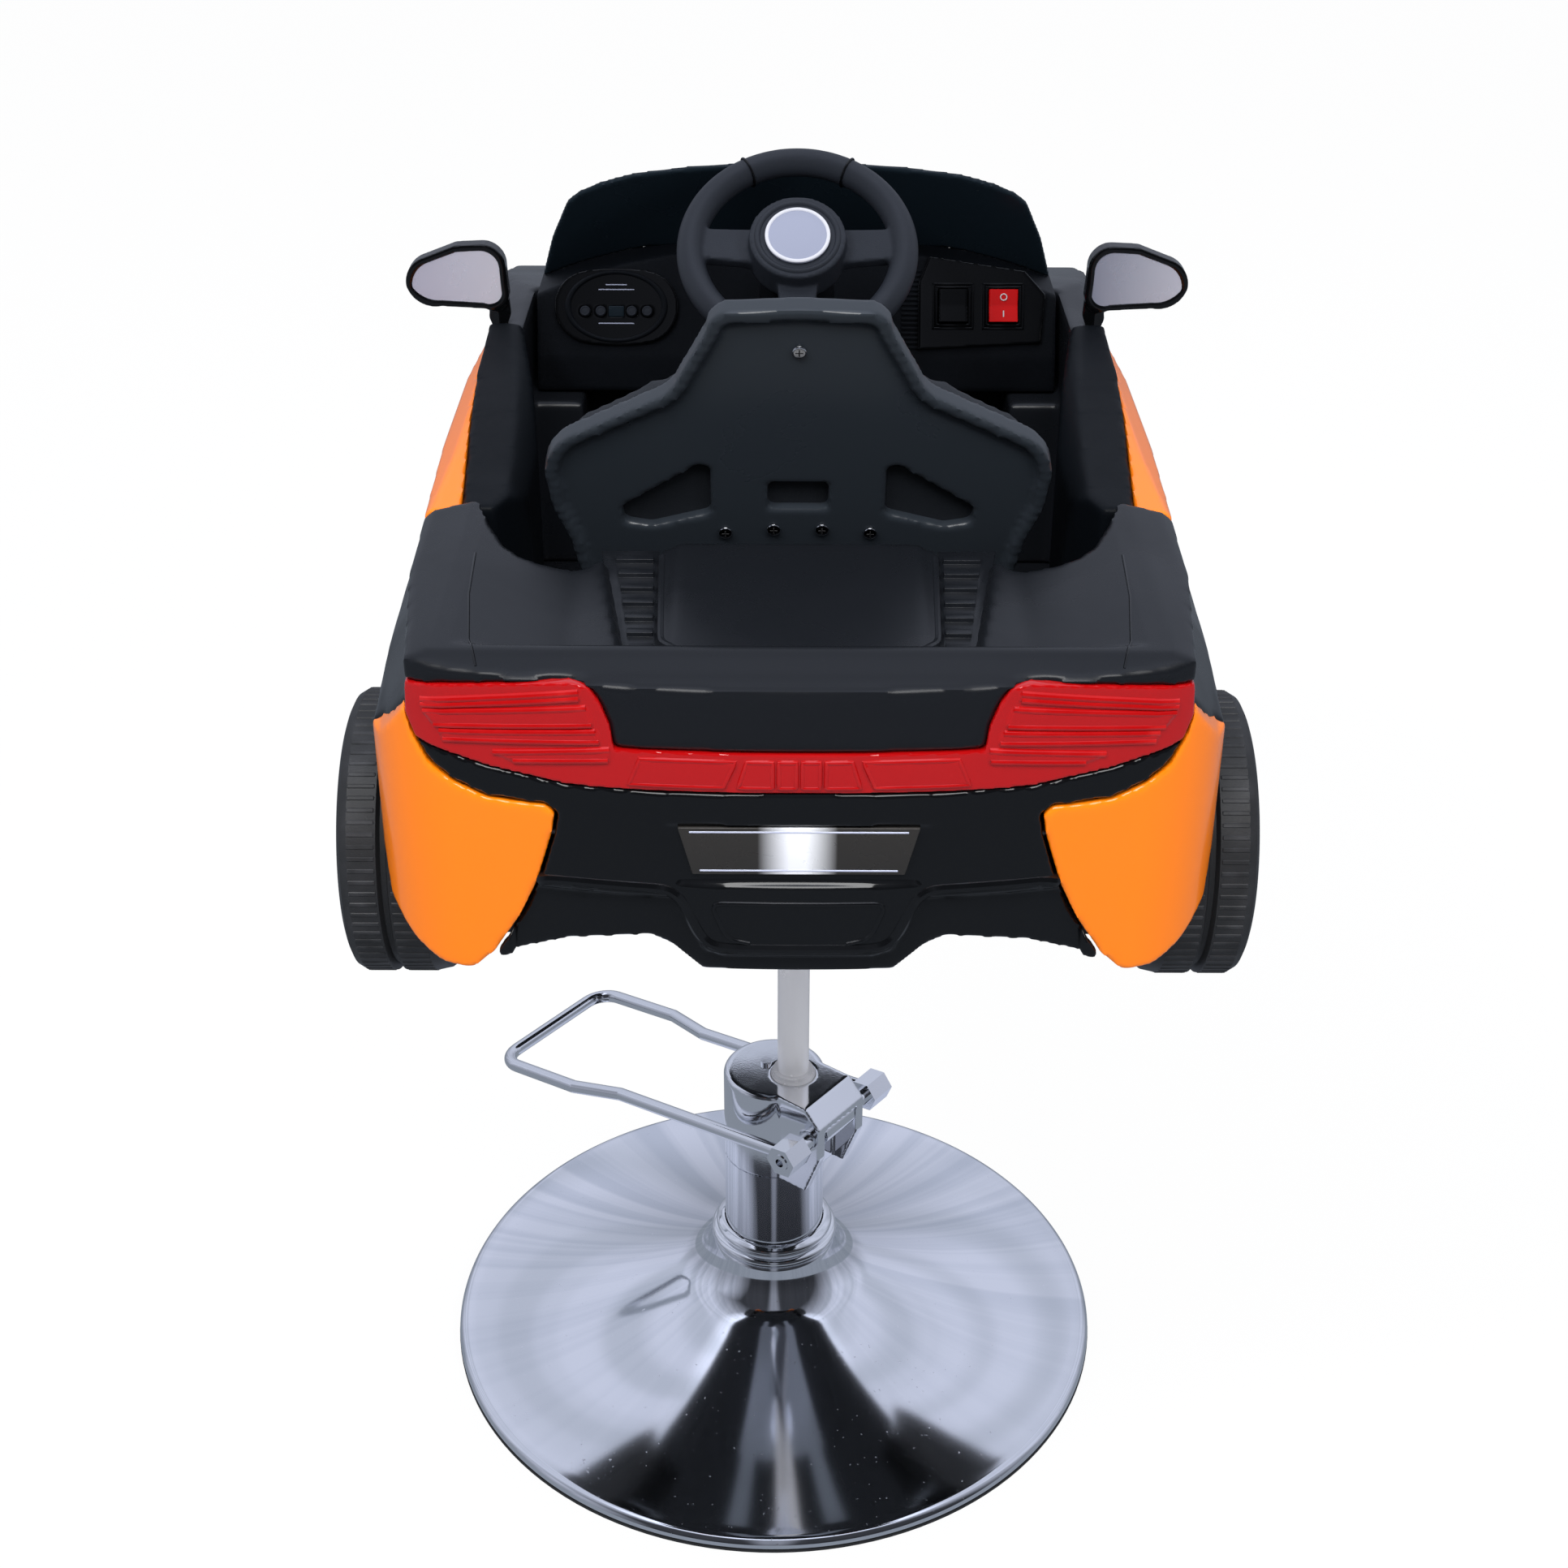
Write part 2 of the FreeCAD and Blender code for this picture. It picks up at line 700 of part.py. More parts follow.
def wells(name, tread, forward, radius):
    """Room for a pair of wheels."""
    right = slab_x(name + "_right", [(0, 0, radius)], tread, side_reach * 1.3)
    place(right, 0, forward, axle_height)
    left = slab_x(name + "_left", [(0, 0, radius)], -side_reach * 1.3, -tread)
    place(left, 0, forward, axle_height)
    return [right, left]


rear_well_radius = tyre_radius + well_clearance
front_well_radius = tyre_radius + well_clearance + front_well_extra
rear_wells = wells("rear_wells", well_inside, -rear_axle_back, rear_well_radius)
front_wells = wells("front_wells", well_inside - front_well_extra, front_axle_forward,
                    front_well_radius)
cockpit_back_shares = [(0, 1), (0.66, 1), (0.9, 0.86), (1, 0.6)]
cockpit_right = scaled(cockpit_back_shares, cockpit_half, -cockpit_back)
cockpit_high = cockpit_right + [(cockpit_half, cockpit_front), (0, cockpit_front)]
cockpit_low = cockpit_right + [
    (cockpit_half, arch_back), (arch_half, arch_back), (arch_half, cockpit_front),
    (0, cockpit_front)]
above_deck = deck_height * 1.5
cockpit = slab_z("cockpit_room", [both_halves(cockpit_high)], arch_top, above_deck)
cockpit_foot = slab_z("cockpit_foot", [both_halves(cockpit_low)], 0, arch_top + bulkhead)
ledge_height = size("ledge_height", 212)
cockpit_corner_shares = [
    (0.5045, -1), (0.545, -1.008), (0.6036, -1.096), (0.7432, -1.164, "bend"), (0.8829, -1.072),
    (0.9595, -0.888, "bend"), (1, -0.66), (1, -0.52), (0.4955, -0.52)]
cockpit_corner = scaled(cockpit_corner_shares, cockpit_half, cockpit_back)
cockpit_corners = slab_z("cockpit_corners", [cockpit_corner, other_side(cockpit_corner)],
                         ledge_height, above_deck)
doorway_right = slab_x("doorway_right", [doorway_line], cockpit_half * 0.9, side_reach * 1.2)
doorway_left = slab_x("doorway_left", [doorway_line], -side_reach * 1.2, -cockpit_half * 0.9)
hollow_back = slab_x("hollow_back", [scaled(hollow_back_shares, rear_reach, deck_height)],
                     -well_inside + bulkhead, well_inside - bulkhead)
vent_inner = size("vent_inner", 110)
hollow_middle = slab_x("hollow_middle",
                       [scaled(hollow_middle_shares, rear_reach, deck_height)],
                       -vent_inner, vent_inner)
hollow_front = slab_x("hollow_front", [scaled(hollow_front_shares, front_reach, deck_height)],
                      -well_inside + bulkhead, well_inside - bulkhead)
skirt_shares = [
    (-1.0526, 0.1347), (-0.8421, 0.1347), (-0.8421, 0.3973), (-1.0526, 0.3973)]
skirt_room = slab_x("skirt_room", [scaled(skirt_shares, rear_reach, deck_height)],
                    -side_reach * 1.2, side_reach * 1.2)
axle_clearance = size("axle_clearance", 9)
axle_pass = slab_x("axle_pass", [(0, 0, axle_clearance)], -side_reach, side_reach)
place(axle_pass, 0, -rear_axle_back, axle_height)
channel_shares = [
    (0, 1.1448), (0.8144, 1.1448), (0.8144, 1.0067), (0.5303, 0.9394), (0.3182, 0.9394),
    (0.303, 0.9562), (0, 0.9562)]
channel_back = size("channel_back", 430)
channel = slab_y("deck_channel",
                 [both_halves(scaled(channel_shares, side_reach, deck_height))],
                 -channel_back, 0)
tail_drop_shares = [
    (-1.0526, 0.963), (-0.9726, 0.9731), (-0.9263, 1), (-0.9263, 1.1448), (-1.0526, 1.1448)]
tail_drop = slab_x("tail_drop", [scaled(tail_drop_shares, rear_reach, deck_height)],
                   -side_reach * 1.2, side_reach * 1.2)

# Steering line: the wheel's middle, and how far its shaft leans
wheel_lean = size("wheel_lean", 38)
wheel_forward = size("wheel_forward", 115)
wheel_up = size("wheel_up", 371)
column_radius = size("column_radius", 7)
column_length = size("column_length", 285)


def on_column(thing, along=0):
    """Sets a piece, drawn upright, on the steering line."""
    return in_car(thing, 0, wheel_forward - sine(wheel_lean) * along,
                  wheel_up + cosine(wheel_lean) * along, 0, 0, wheel_lean)


column_hole = slab_z("column_hole", [(0, 0, column_radius + running_gap)],
                     -column_length - overrun, 0)
place(column_hole, 0, wheel_forward, wheel_up, 0, 0, wheel_lean)

# Deck vents sit in shallow recesses
vent_depth = size("vent_depth", 5)
vent_shares = [
    (0.3258, -0.8547), (0.4091, -0.8547), (0.5, -0.5095), (0.3523, -0.5095)]
vent_right_outline = scaled(vent_shares, side_reach, rear_reach)
vent_left_outline = other_side(vent_right_outline)
vent_floor = deck_height * 0.929 - vent_depth
vent_recess = slab_z("vent_recess", [vent_right_outline, vent_left_outline],
                     vent_floor, deck_height * 1.2)

# Door pins and mirror feet stand in bores of the shell
door_pin_radius = size("door_pin_radius", 3)
door_pin_across = size("door_pin_across", 258)
door_pin_forward = size("door_pin_forward", 142)
door_pin_low = size("door_pin_low", 88)
door_pin_high = size("door_pin_high", 222)
mirror_foot_radius = size("mirror_foot_radius", 6)
mirror_span = size("mirror_span", 74)
mirror_across_share = 0.9205
mirror_across = side_reach * mirror_across_share
mirror_forward = size("mirror_forward", 168)
mirror_foot_low = size("mirror_foot_low", 268)
pin_sockets = slab_z("pin_sockets", [
    (door_pin_across, door_pin_forward, door_pin_radius),
    (-door_pin_across, door_pin_forward, door_pin_radius)],
    door_pin_low, door_pin_high)
mirror_sockets = slab_z("mirror_sockets", [
    (mirror_across, mirror_forward, mirror_foot_radius + running_gap),
    (-mirror_across, mirror_forward, mirror_foot_radius + running_gap)],
    mirror_foot_low, deck_height * 1.2)

# Body shell with its tail lip
lip_shares = [
    (0, 0.83), (0.4129, 0.83), (0.4205, 0.8822), (0.4413, 0.9343), (0.4629, 0.9653),
    (0.5076, 0.9741), (0.6818, 0.9589), (0.8883, 0.9401), (0.9205, 0.8822), (0.9924, 0.8081),
    (1, 1.0101), (0, 1)]
lip_half = scaled(lip_shares, side_reach, deck_height)
lip_band = rear_band("tail_lip", [both_halves(lip_half)])
lip_under = slab_y("lip_section", [section], -rear_reach - overrun, 0)
lip = less("lip", shared("lip_block", [lip_band, lip_under]), shoulder_rooms)
body_solid = fused("body_solid", [car_form, lip])
body_shell = less("body_shell", body_solid, [
    cockpit, cockpit_foot, cockpit_corners, doorway_right, doorway_left, hollow_back, hollow_middle,
    hollow_front, channel, tail_drop,
    skirt_room, axle_pass, vent_recess, column_hole, pin_sockets, mirror_sockets]
    + rear_wells + front_wells)
piece(in_car(body_shell))

# Floor pan, cut clear of the wheels, carried on the mount rails
pan_low = sill_bottom - pan_thickness
pan_wells = []
for label, radius, tread, forward in (
        ("pan_rear", rear_well_radius, well_inside, -rear_axle_back),
        ("pan_front", front_well_radius, well_inside - front_well_extra, front_axle_forward)):
    pan_wells += wells(label, tread, forward, radius)
pan_shares = [
    (0, -0.6922), (0.7197, -0.6922), (0.8788, -0.6922), (0.947, -0.6783), (0.9659, 0.5217),
    (0.947, 0.7478), (0.8636, 0.8783), (0.7197, 0.9357), (0, 0.9774)]
pan_half = scaled(pan_shares, side_reach, front_reach)
pan_slab = slab_z("pan_slab", [both_halves(pan_half)], pan_low, sill_bottom)
kingpin_across = size("kingpin_across", 176)
kingpin_radius = size("kingpin_radius", 6)
pin_holes = slab_z("pin_holes", [
    (kingpin_across, front_axle_forward, kingpin_radius + running_gap),
    (-kingpin_across, front_axle_forward, kingpin_radius + running_gap)],
    pan_low - overrun, sill_bottom + overrun)
lug_width = size("lug_width", 14)
lug_half = size("lug_half", 16)
lug_across = size("lug_across", 176)
axle_radius = size("axle_radius", 6)
lug_top = axle_height + axle_radius * 2.5
lug_right = slab_y("lug_right", [box(lug_across - lug_width / 2, lug_across + lug_width / 2,
                                     sill_bottom, lug_top)],
                   -rear_axle_back - lug_half, lug_half - rear_axle_back)
lug_left = slab_y("lug_left", [box(-lug_across - lug_width / 2, lug_width / 2 - lug_across,
                                   sill_bottom, lug_top)],
                  -rear_axle_back - lug_half, lug_half - rear_axle_back)
axle_bore = slab_x("axle_bore", [(0, 0, axle_radius)], -side_reach, side_reach)
place(axle_bore, 0, -rear_axle_back, axle_height)
foot_hinge_forward = size("foot_hinge_forward", 176)
foot_hinge_up = size("foot_hinge_up", 90)
foot_hinge_radius = size("foot_hinge_radius", 4)
foot_across = size("foot_across", 80)
foot_half = size("foot_half", 26)
foot_lug_width = size("foot_lug_width", 6)
foot_lugs = []
for label, edge in (("foot_lug_left", foot_across - foot_half - foot_lug_width - cheek_gap),
                    ("foot_lug_right", foot_across + foot_half + cheek_gap)):
    foot_lugs.append(slab_x(label, [[
        (foot_hinge_forward - foot_lug_width * 1.5, sill_bottom),
        (foot_hinge_forward + foot_lug_width * 1.5, sill_bottom),
        (foot_hinge_forward + foot_lug_width, foot_hinge_up + foot_lug_width),
        (foot_hinge_forward - foot_lug_width, foot_hinge_up + foot_lug_width)]],
        edge, edge + foot_lug_width))
foot_bore = slab_x("foot_bore", [(0, 0, foot_hinge_radius + running_gap)], 0, side_reach)
place(foot_bore, 0, foot_hinge_forward, foot_hinge_up)
pan_solid = fused("pan_solid", [pan_slab, lug_right, lug_left] + foot_lugs)
floor_pan = less("floor_pan", pan_solid, pan_wells + [pin_holes, axle_bore, foot_bore])
piece(in_car(floor_pan))

# Tail: red lens, bumper, orange corners and the bare number plate
lens_shares = [
    (0, 0.7401), (0.3371, 0.7387), (0.5189, 0.7428), (0.7083, 0.7727), (0.8409, 0.8064),
    (0.8712, 0.8182), (0.892, 0.8687), (0.8864, 0.9384), (0.6818, 0.9572), (0.5076, 0.9724),
    (0.4659, 0.9636), (0.4432, 0.9327), (0.4223, 0.8822), (0.4148, 0.8283), (0, 0.8283)]
lens_half = scaled(lens_shares, side_reach, deck_height)
lens_body = rear_band("lens", [both_halves(lens_half)])
emboss_shares = [
    [
    (0.4886, 0.9394), (0.8485, 0.8956), (0.8447, 0.9074), (0.4886, 0.9529)],
    [
    (0.4621, 0.8822), (0.822, 0.8552), (0.8447, 0.8822), (0.4735, 0.9192)],
    [
    (0.447, 0.8451), (0.803, 0.8249), (0.8106, 0.8418), (0.4545, 0.867)],
    [
    (0.428, 0.8047), (0.6439, 0.7896), (0.6894, 0.8047), (0.4242, 0.8283)],
    [
    (0.1705, 0.7542), (0.3826, 0.7542), (0.3561, 0.8114), (0.1439, 0.8114)],
    [
    (0.0606, 0.7542), (0.1364, 0.7542), (0.1174, 0.8114), (0.0606, 0.8114)],
    [
    (0.0076, 0.7542), (0.0455, 0.7542), (0.0455, 0.8114), (0.0076, 0.8114)]]
emboss = []
for table in emboss_shares:
    loop = scaled(table, side_reach, deck_height)
    emboss.append(loop)
    emboss.append(other_side(loop))
lens_ribs = rear_band("lens_ribs", emboss, rear_proud)
piece(in_car(fused("tail_light", [lens_body, lens_ribs])))

corner_shares = [
    (0.8958, 0.8838), (0.8807, 0.8249), (0.8428, 0.7609), (0.7879, 0.7239), (0.714, 0.6953),
    (0.6174, 0.6902), (0.5758, 0.6886), (0.5568, 0.6717), (0.5663, 0.6212), (0.6098, 0.4966),
    (0.6553, 0.4108), (0.7197, 0.3182), (0.7784, 0.2677), (0.8561, 0.2761), (0.9205, 0.3131),
    (0.9735, 0.367), (1.0227, 0.4209), (1.0227, 0.7677), (0.9811, 0.7845)]
corner_half = scaled(corner_shares, side_reach, deck_height)
corner_solid = rear_band("corner", [corner_half])
corner_form = shared("corner_form", [corner_solid, lip_under])
corner_right = in_car(less("corner_panel_right", corner_form,
                           shoulder_rooms[:1] + rear_wells[:1]))
piece(corner_right)
piece(flipped("corner_panel_left", corner_right))

bumper_shares = [
    (0, 0.2946), (0.2235, 0.2963), (0.2917, 0.3535), (0.3485, 0.3771), (0.5417, 0.3552),
    (0.7045, 0.3064), (0.714, 0.3165), (0.6477, 0.4091), (0.6034, 0.4949), (0.5595, 0.6205),
    (0.5492, 0.6734), (0.5739, 0.6936), (0.6174, 0.6953), (0.7121, 0.7003), (0.7841, 0.7293),
    (0.8371, 0.766), (0.8773, 0.8249), (0.8712, 0.8148), (0.8409, 0.804), (0.7083, 0.7704),
    (0.5189, 0.7404), (0.3371, 0.7364), (0, 0.7377)]
bumper_half = scaled(bumper_shares, side_reach, deck_height)
bumper_band = rear_band("bumper", [both_halves(bumper_half)])
recess_shares = [
    (-0.3182, 0.6633), (-0.2841, 0.5185), (0.2841, 0.5185), (0.3182, 0.6633)]
recess_depth = size("recess_depth", 5)
plate_recess = slab_y("plate_recess", [scaled(recess_shares, side_reach, deck_height)],
                      -rear_reach - overrun, recess_depth - rear_reach)
groove_shares = [
    (-0.625, 0.468), (-0.2727, 0.4832), (-0.197, 0.3485), (0.197, 0.3485), (0.2727, 0.4832),
    (0.625, 0.468), (0.625, 0.4579), (0.2803, 0.4721), (0.2045, 0.335), (-0.2045, 0.335),
    (-0.2803, 0.4721), (-0.625, 0.4579)]
groove_depth = size("groove_depth", 2)
groove_ring = slab_z("groove_ring", [whole_rear(
    inset_rear(groove_depth, -groove_depth))], 0, deck_height)
groove_face = slab_y("groove_face", [scaled(groove_shares, side_reach, deck_height)],
                     -rear_reach - overrun, 0)
groove = less("bumper_groove", groove_face, [groove_ring])
rear_bumper = less("rear_bumper", bumper_band, [plate_recess, groove])
piece(in_car(rear_bumper))
plate_shares = [
    (-0.2765, 0.6566), (-0.2443, 0.5455), (0.2443, 0.5455), (0.2765, 0.6566)]
plate_sheet = size("plate_sheet", 3)
piece(in_car(slab_y("number_plate", [scaled(plate_shares, side_reach, deck_height)],
                    recess_depth - rear_reach - plate_sheet, recess_depth - rear_reach)))

# Deck vents: a sheet with a rim and seven cross bars
vent_sheet = size("vent_sheet", 2)
vent_bar = size("vent_bar", 7)
vent_bar_back = size("vent_bar_back", -395)
vent_bar_step = size("vent_bar_step", 22)
vent_lean_share = 0.085


def vent(name):
    sheet_body = slab_z(name + "_sheet", [vent_right_outline], vent_floor,
                        vent_floor + vent_sheet)
    bars = []
    for count in range(7):
        bar_low = vent_bar_back + vent_bar_step * count
        drift = (bar_low - vent_bar_back) * vent_lean_share
        left = side_reach * 0.34 + drift * 0.55
        right = side_reach * 0.395 + drift * 1.45
        bars.append([(left, bar_low), (right, bar_low), (right, bar_low + vent_bar),
                     (left, bar_low + vent_bar)])
    bar_body = slab_z(name + "_bars", bars, vent_floor + vent_sheet / 2,
                      vent_floor + vent_depth)
    return fused(name, [sheet_body, bar_body])


vent_right = vent("vent_right")
piece(in_car(fused("deck_vents", [vent_right, flipped("vent_left", vent_right)])))

# Nose: bumper, headlights and grille set over the front end
front_outer_shares = [
    (0.9924, 0.7478), (0.9091, 0.887), (0.7576, 0.9478), (0, 1, "bend")]
front_outer = scaled(front_outer_shares, side_reach, front_reach)
skin_shares = (0.6, 0.8)
front_skin = []
for point in front_outer[:-1]:
    front_skin.append((point[0] + panel * skin_shares[0], point[1] + panel * skin_shares[1]))
front_skin[0] = (side_reach + panel * skin_shares[0], front_outer[0][1])
front_ring = slab_z("front_ring", [
    other_side(front_skin)[::-1] + [(0, front_reach + panel, "bend")] + front_skin[::-1]
    + front_outer[:-1] + [(0, front_reach, "bend")] + other_side(front_outer[:-1])],
    0, deck_height)


def front_band(name, outlines):
    """A panel over the nose, from outlines seen from the front."""
    face = slab_y(name + "_face", outlines, 0, front_reach * 1.1)
    return shared(name, [face, front_ring])


front_bumper_shares = [
    (0, 0.2828), (0.5682, 0.2828), (0.8333, 0.3098), (1.0227, 0.3771), (1.0227, 0.5051),
    (0.6818, 0.4848), (0.4924, 0.3973), (0, 0.3906)]
front_bumper_half = scaled(front_bumper_shares, side_reach, deck_height)
piece(in_car(front_band("front_bumper", [both_halves(front_bumper_half)])))
headlight_shares = [
    (0.5682, 0.5387), (0.6742, 0.4916), (1.0227, 0.5118), (1.0227, 0.5926), (0.6818, 0.5791)]
headlight = scaled(headlight_shares, side_reach, deck_height)
piece(in_car(front_band("headlights", [headlight, other_side(headlight)])))

# Doors: an orange skin rolled over the top, a thick black lining and a hinge pin
lining_outer_shares = [
    (0.8674, -1.0286), (0.8826, -0.7571), (0.9167, -0.2286), (0.9394, 0.2381), (0.947, 0.7619)]
lining_inner_shares = [
    (0.803, -1.0286), (0.7348, -0.819), (0.7197, -0.7143), (0.7235, -0.3238), (0.7727, 0.1667),
    (0.8295, 0.6143), (0.8561, 0.7619)]
skin_inner_shares = [
    (0.9205, -1.0714), (0.9735, 0.1619), (0.9318, 0.7619)]
skin_top = size("skin_top", 262)
door_inside = cockpit_half * 0.8
lining_outer = scaled(lining_outer_shares, side_reach, door_length)
lining_inner = scaled(lining_inner_shares, side_reach, door_length)
skin_inner = scaled(skin_inner_shares, side_reach, door_length)


def inside_of(name, line, low, high):
    """Room from the cabin out to a line of the door, between two heights."""
    outline = line + [(door_inside, line[-1][1]), (door_inside, line[0][1])]
    return slab_z(name, [outline], low, high)


skin_room = inside_of("skin_room", skin_inner, 0, skin_top)
lining_room = inside_of("lining_room", lining_outer, 0, above_deck)
door_side = slab_x("door_side", [door_line], door_inside, side_reach * 1.1)
door_form = shared("door_form", [door_side, car_form])
door_pin_bore = slab_z("door_pin_bore", [
    (door_pin_across, door_pin_forward, door_pin_radius + running_gap)],
    door_bottom - overrun, door_pin_high + running_gap * 20)
door_panel = in_car(less("door_panel_right", door_form,
                         [skin_room, lining_room, door_pin_bore]))
piece(door_panel)
piece(flipped("door_panel_left", door_panel))
lining_plan = slab_z("lining_plan", [lining_outer + lining_inner[::-1]], 0, above_deck)
lining_line_shares = [
    (-0.9714, 0.9697), (-0.9714, 0.7273), (-0.9, 0.5387), (-0.7667, 0.3502), (0.7048, 0.3502),
    (0.7048, 1.0168)]
lining_line = scaled(lining_line_shares, door_length, deck_height)
lining_side = slab_x("lining_side", [lining_line], door_inside, side_reach)
lining_back_shares = [
    (0.6818, 0.202), (0.7121, 0.202), (0.7121, 0.862), (0.7386, 0.9495, "bend"), (0.8182, 1),
    (0.8939, 1.0236), (1, 1.0236), (1, 0.202)]
lining_back = slab_y("lining_back", [scaled(lining_back_shares, side_reach, deck_height)],
                     -rear_reach, front_reach)
lining = in_car(shared("door_lining_right", [lining_plan, lining_side, lining_back]))
piece(lining)
piece(flipped("door_lining_left", lining))
piece(in_car(slab_z("door_pins", [
    (door_pin_across, door_pin_forward, door_pin_radius),
    (-door_pin_across, door_pin_forward, door_pin_radius)], door_pin_low, door_pin_high)))

# Seat: leaning back shell with a rolled rim and slots, pan, and two pads
seat_lean = size("seat_lean", 17)
seat_back = size("seat_back", 160)
seat_up = size("seat_up", 249)
seat_half = size("seat_half", 174)
seat_tall = size("seat_tall", 193)
seat_wall = size("seat_wall", 12)
seat_rim = size("seat_rim", 5)
seat_shares = [
    (0, 1), (0.2414, 0.9896), (0.3161, 0.9689, "bend"), (0.3506, 0.9067), (0.4598, 0.715),
    (0.5, 0.658, "bend"), (0.569, 0.6166), (0.8621, 0.4767), (0.9713, 0.3938, "bend"),
    (1, 0.2694), (0.9828, 0.1451), (0.9195, -0.0207), (0.8506, -0.3627), (0.8046, -0.6736),
    (0, -0.6736)]
rim_shares = [
    (0, 0.9534), (0.2299, 0.943), (0.2816, 0.9275, "bend"), (0.3046, 0.886), (0.4138, 0.6995),
    (0.4598, 0.6321, "bend"), (0.5402, 0.5803), (0.8391, 0.4404), (0.9253, 0.3679, "bend"),
    (0.9483, 0.2694), (0.9368, 0.1554), (0.8736, -0.0207), (0.8046, -0.3627), (0.7586, -0.6321),
    (0, -0.6321)]
slot_shares = [
    (0.3506, 0.0984), (0.592, 0.0363), (0.7011, 0.057), (0.7069, 0.1295), (0.3966, 0.3212),
    (0.3506, 0.3109)]
middle_slot_shares = [
    (-0.1207, 0.1192), (0.1207, 0.1192), (0.1207, 0.2435), (-0.1207, 0.2435)]


def on_seat(thing, level=0):
    """Leans a piece drawn upright back on the seat line."""
    return place(thing, 0, -seat_back, seat_up + level, 0, 0, seat_lean)


seat_outline = both_halves(scaled(seat_shares, seat_half, seat_tall))
rim_outline = both_halves(scaled(rim_shares, seat_half, seat_tall))
slot_right = scaled(slot_shares, seat_half, seat_tall)
slot_left = other_side(slot_right)
middle_slot = scaled(middle_slot_shares, seat_half, seat_tall)
seat_plate = on_seat(slab_y("seat_plate", [seat_outline, slot_right, slot_left, middle_slot],
                            0, seat_wall))
seat_rim_form = on_seat(slab_y("seat_rim_form", [seat_outline, rim_outline], -seat_rim, 0))
seat_pan_half = size("seat_pan_half", 145)
seat_pan_back = size("seat_pan_back", 130)
seat_pan_front = size("seat_pan_front", 40)
seat_pan_top = size("seat_pan_top", 140)
seat_box = slab_z("seat_box", [box(-seat_pan_half, seat_pan_half, -seat_pan_back,
                                   seat_pan_front)], sill_bottom, seat_pan_top)
seat_foot_cut = slab_z("seat_foot_cut", [box(-seat_half * 1.5, seat_half * 1.5,
                                             -seat_back * 1.5, seat_half)],
                       -overrun * 3, sill_bottom)
seat_shell = less("seat_shell", fused("seat_shell_form", [seat_plate, seat_rim_form, seat_box]),
                  [seat_foot_cut])
piece(in_car(seat_shell))
pad_shares = [
    (0, 0.9845), (0.2356, 0.9741), (0.2989, 0.9534, "bend"), (0.3276, 0.8964), (0.4368, 0.7047),
    (0.4828, 0.6477, "bend"), (0.5575, 0.601), (0.8506, 0.4611), (0.954, 0.3834, "bend"),
    (0.977, 0.2694), (0.9425, 0.1036), (0.8046, -0.2073), (0.7586, -0.4767), (0, -0.4767)]
pad_outline = both_halves(scaled(pad_shares, seat_half, seat_tall))
pad_edge = size("pad_edge", 12)
pad_crown = size("pad_crown", 34)
pad_back = seat_wall
pad_front = seat_wall + pad_crown * 2
back_pad_block = slab_y("back_pad_block", [pad_outline], pad_back, pad_front)
pad_plan = slab_z("pad_plan", [[
    (seat_half * 1.1, pad_back),
    (seat_half * 1.1, pad_back + pad_edge),
    (0, pad_back + pad_crown, "bend"),
    (-seat_half * 1.1, pad_back + pad_edge),
    (-seat_half * 1.1, pad_back)]], -seat_tall, seat_tall * 1.1)
pad_side = slab_x("pad_side", [[
    (pad_back, -seat_tall),
    (pad_back + pad_edge, -seat_tall),
    (pad_back + pad_crown, 0, "bend"),
    (pad_back + pad_edge, seat_tall),
    (pad_back, seat_tall)]], -seat_half, seat_half)
back_pad_form = on_seat(shared("back_pad_form", [back_pad_block, pad_plan, pad_side]))
seat_pad_edge = size("seat_pad_edge", 158)
seat_pad_top = size("seat_pad_top", 182)
seat_pad_shares = [
    (0, -0.8), (1, -0.8), (0.9517, -0.2308, "bend"), (1.0207, 0.2308), (0.8966, 0.4154),
    (0, 0.4154)]
seat_pad_plan = slab_z("seat_pad_plan", [
    both_halves(scaled(seat_pad_shares, seat_pan_half, seat_pan_back))],
    seat_pan_top, seat_pad_top)
seat_pad_back = slab_y("seat_pad_back", [[
    (seat_half, seat_pan_top),
    (seat_half, seat_pad_edge),
    (0, seat_pad_top, "bend"),
    (-seat_half, seat_pad_edge),
    (-seat_half, seat_pan_top)]], -seat_half, seat_half)
seat_pad_side = slab_x("seat_pad_side", [[
    (-seat_pan_back, seat_pan_top),
    (-seat_pan_back, seat_pad_edge),
    (-seat_pan_front, seat_pad_top, "bend"),
    (seat_pan_front * 1.5, seat_pad_edge),
    (seat_pan_front * 1.5, seat_pan_top)]], -seat_half, seat_half)
seat_pad_form = shared("seat_pad_form", [seat_pad_plan, seat_pad_back, seat_pad_side])
back_room = on_seat(slab_y("back_room", [both_halves(scaled(seat_shares, seat_half,
                                                            seat_tall))], -seat_rim,
                           seat_wall))
piece(in_car(less("seat_cushion", seat_pad_form, [back_room])))
cushion_room = slab_z("cushion_room", [box(-seat_pan_half * 1.2, seat_pan_half * 1.2,
                                           -seat_pan_back * 1.5, seat_half)],
                      -seat_half, seat_pad_top)
piece(in_car(less("seat_back_pad", back_pad_form, [cushion_room])))
screw_radius = size("screw_radius", 5)
screw_head = size("screw_head", 3)
screw_shares = [
    (-0.2931, 0.0155), (-0.0977, 0.0311), (0.0977, 0.0311), (0.2931, 0.0155), (0, 0.8187)]
screw_points = scaled(screw_shares, seat_half, seat_tall)
screws = []
for number, spot in enumerate(screw_points):
    screws.append((spot[0] if spot[0].number != 0 else 0, spot[1], screw_radius))
piece(on_seat(slab_y("seat_screws", screws, -screw_head, 0), car_level))

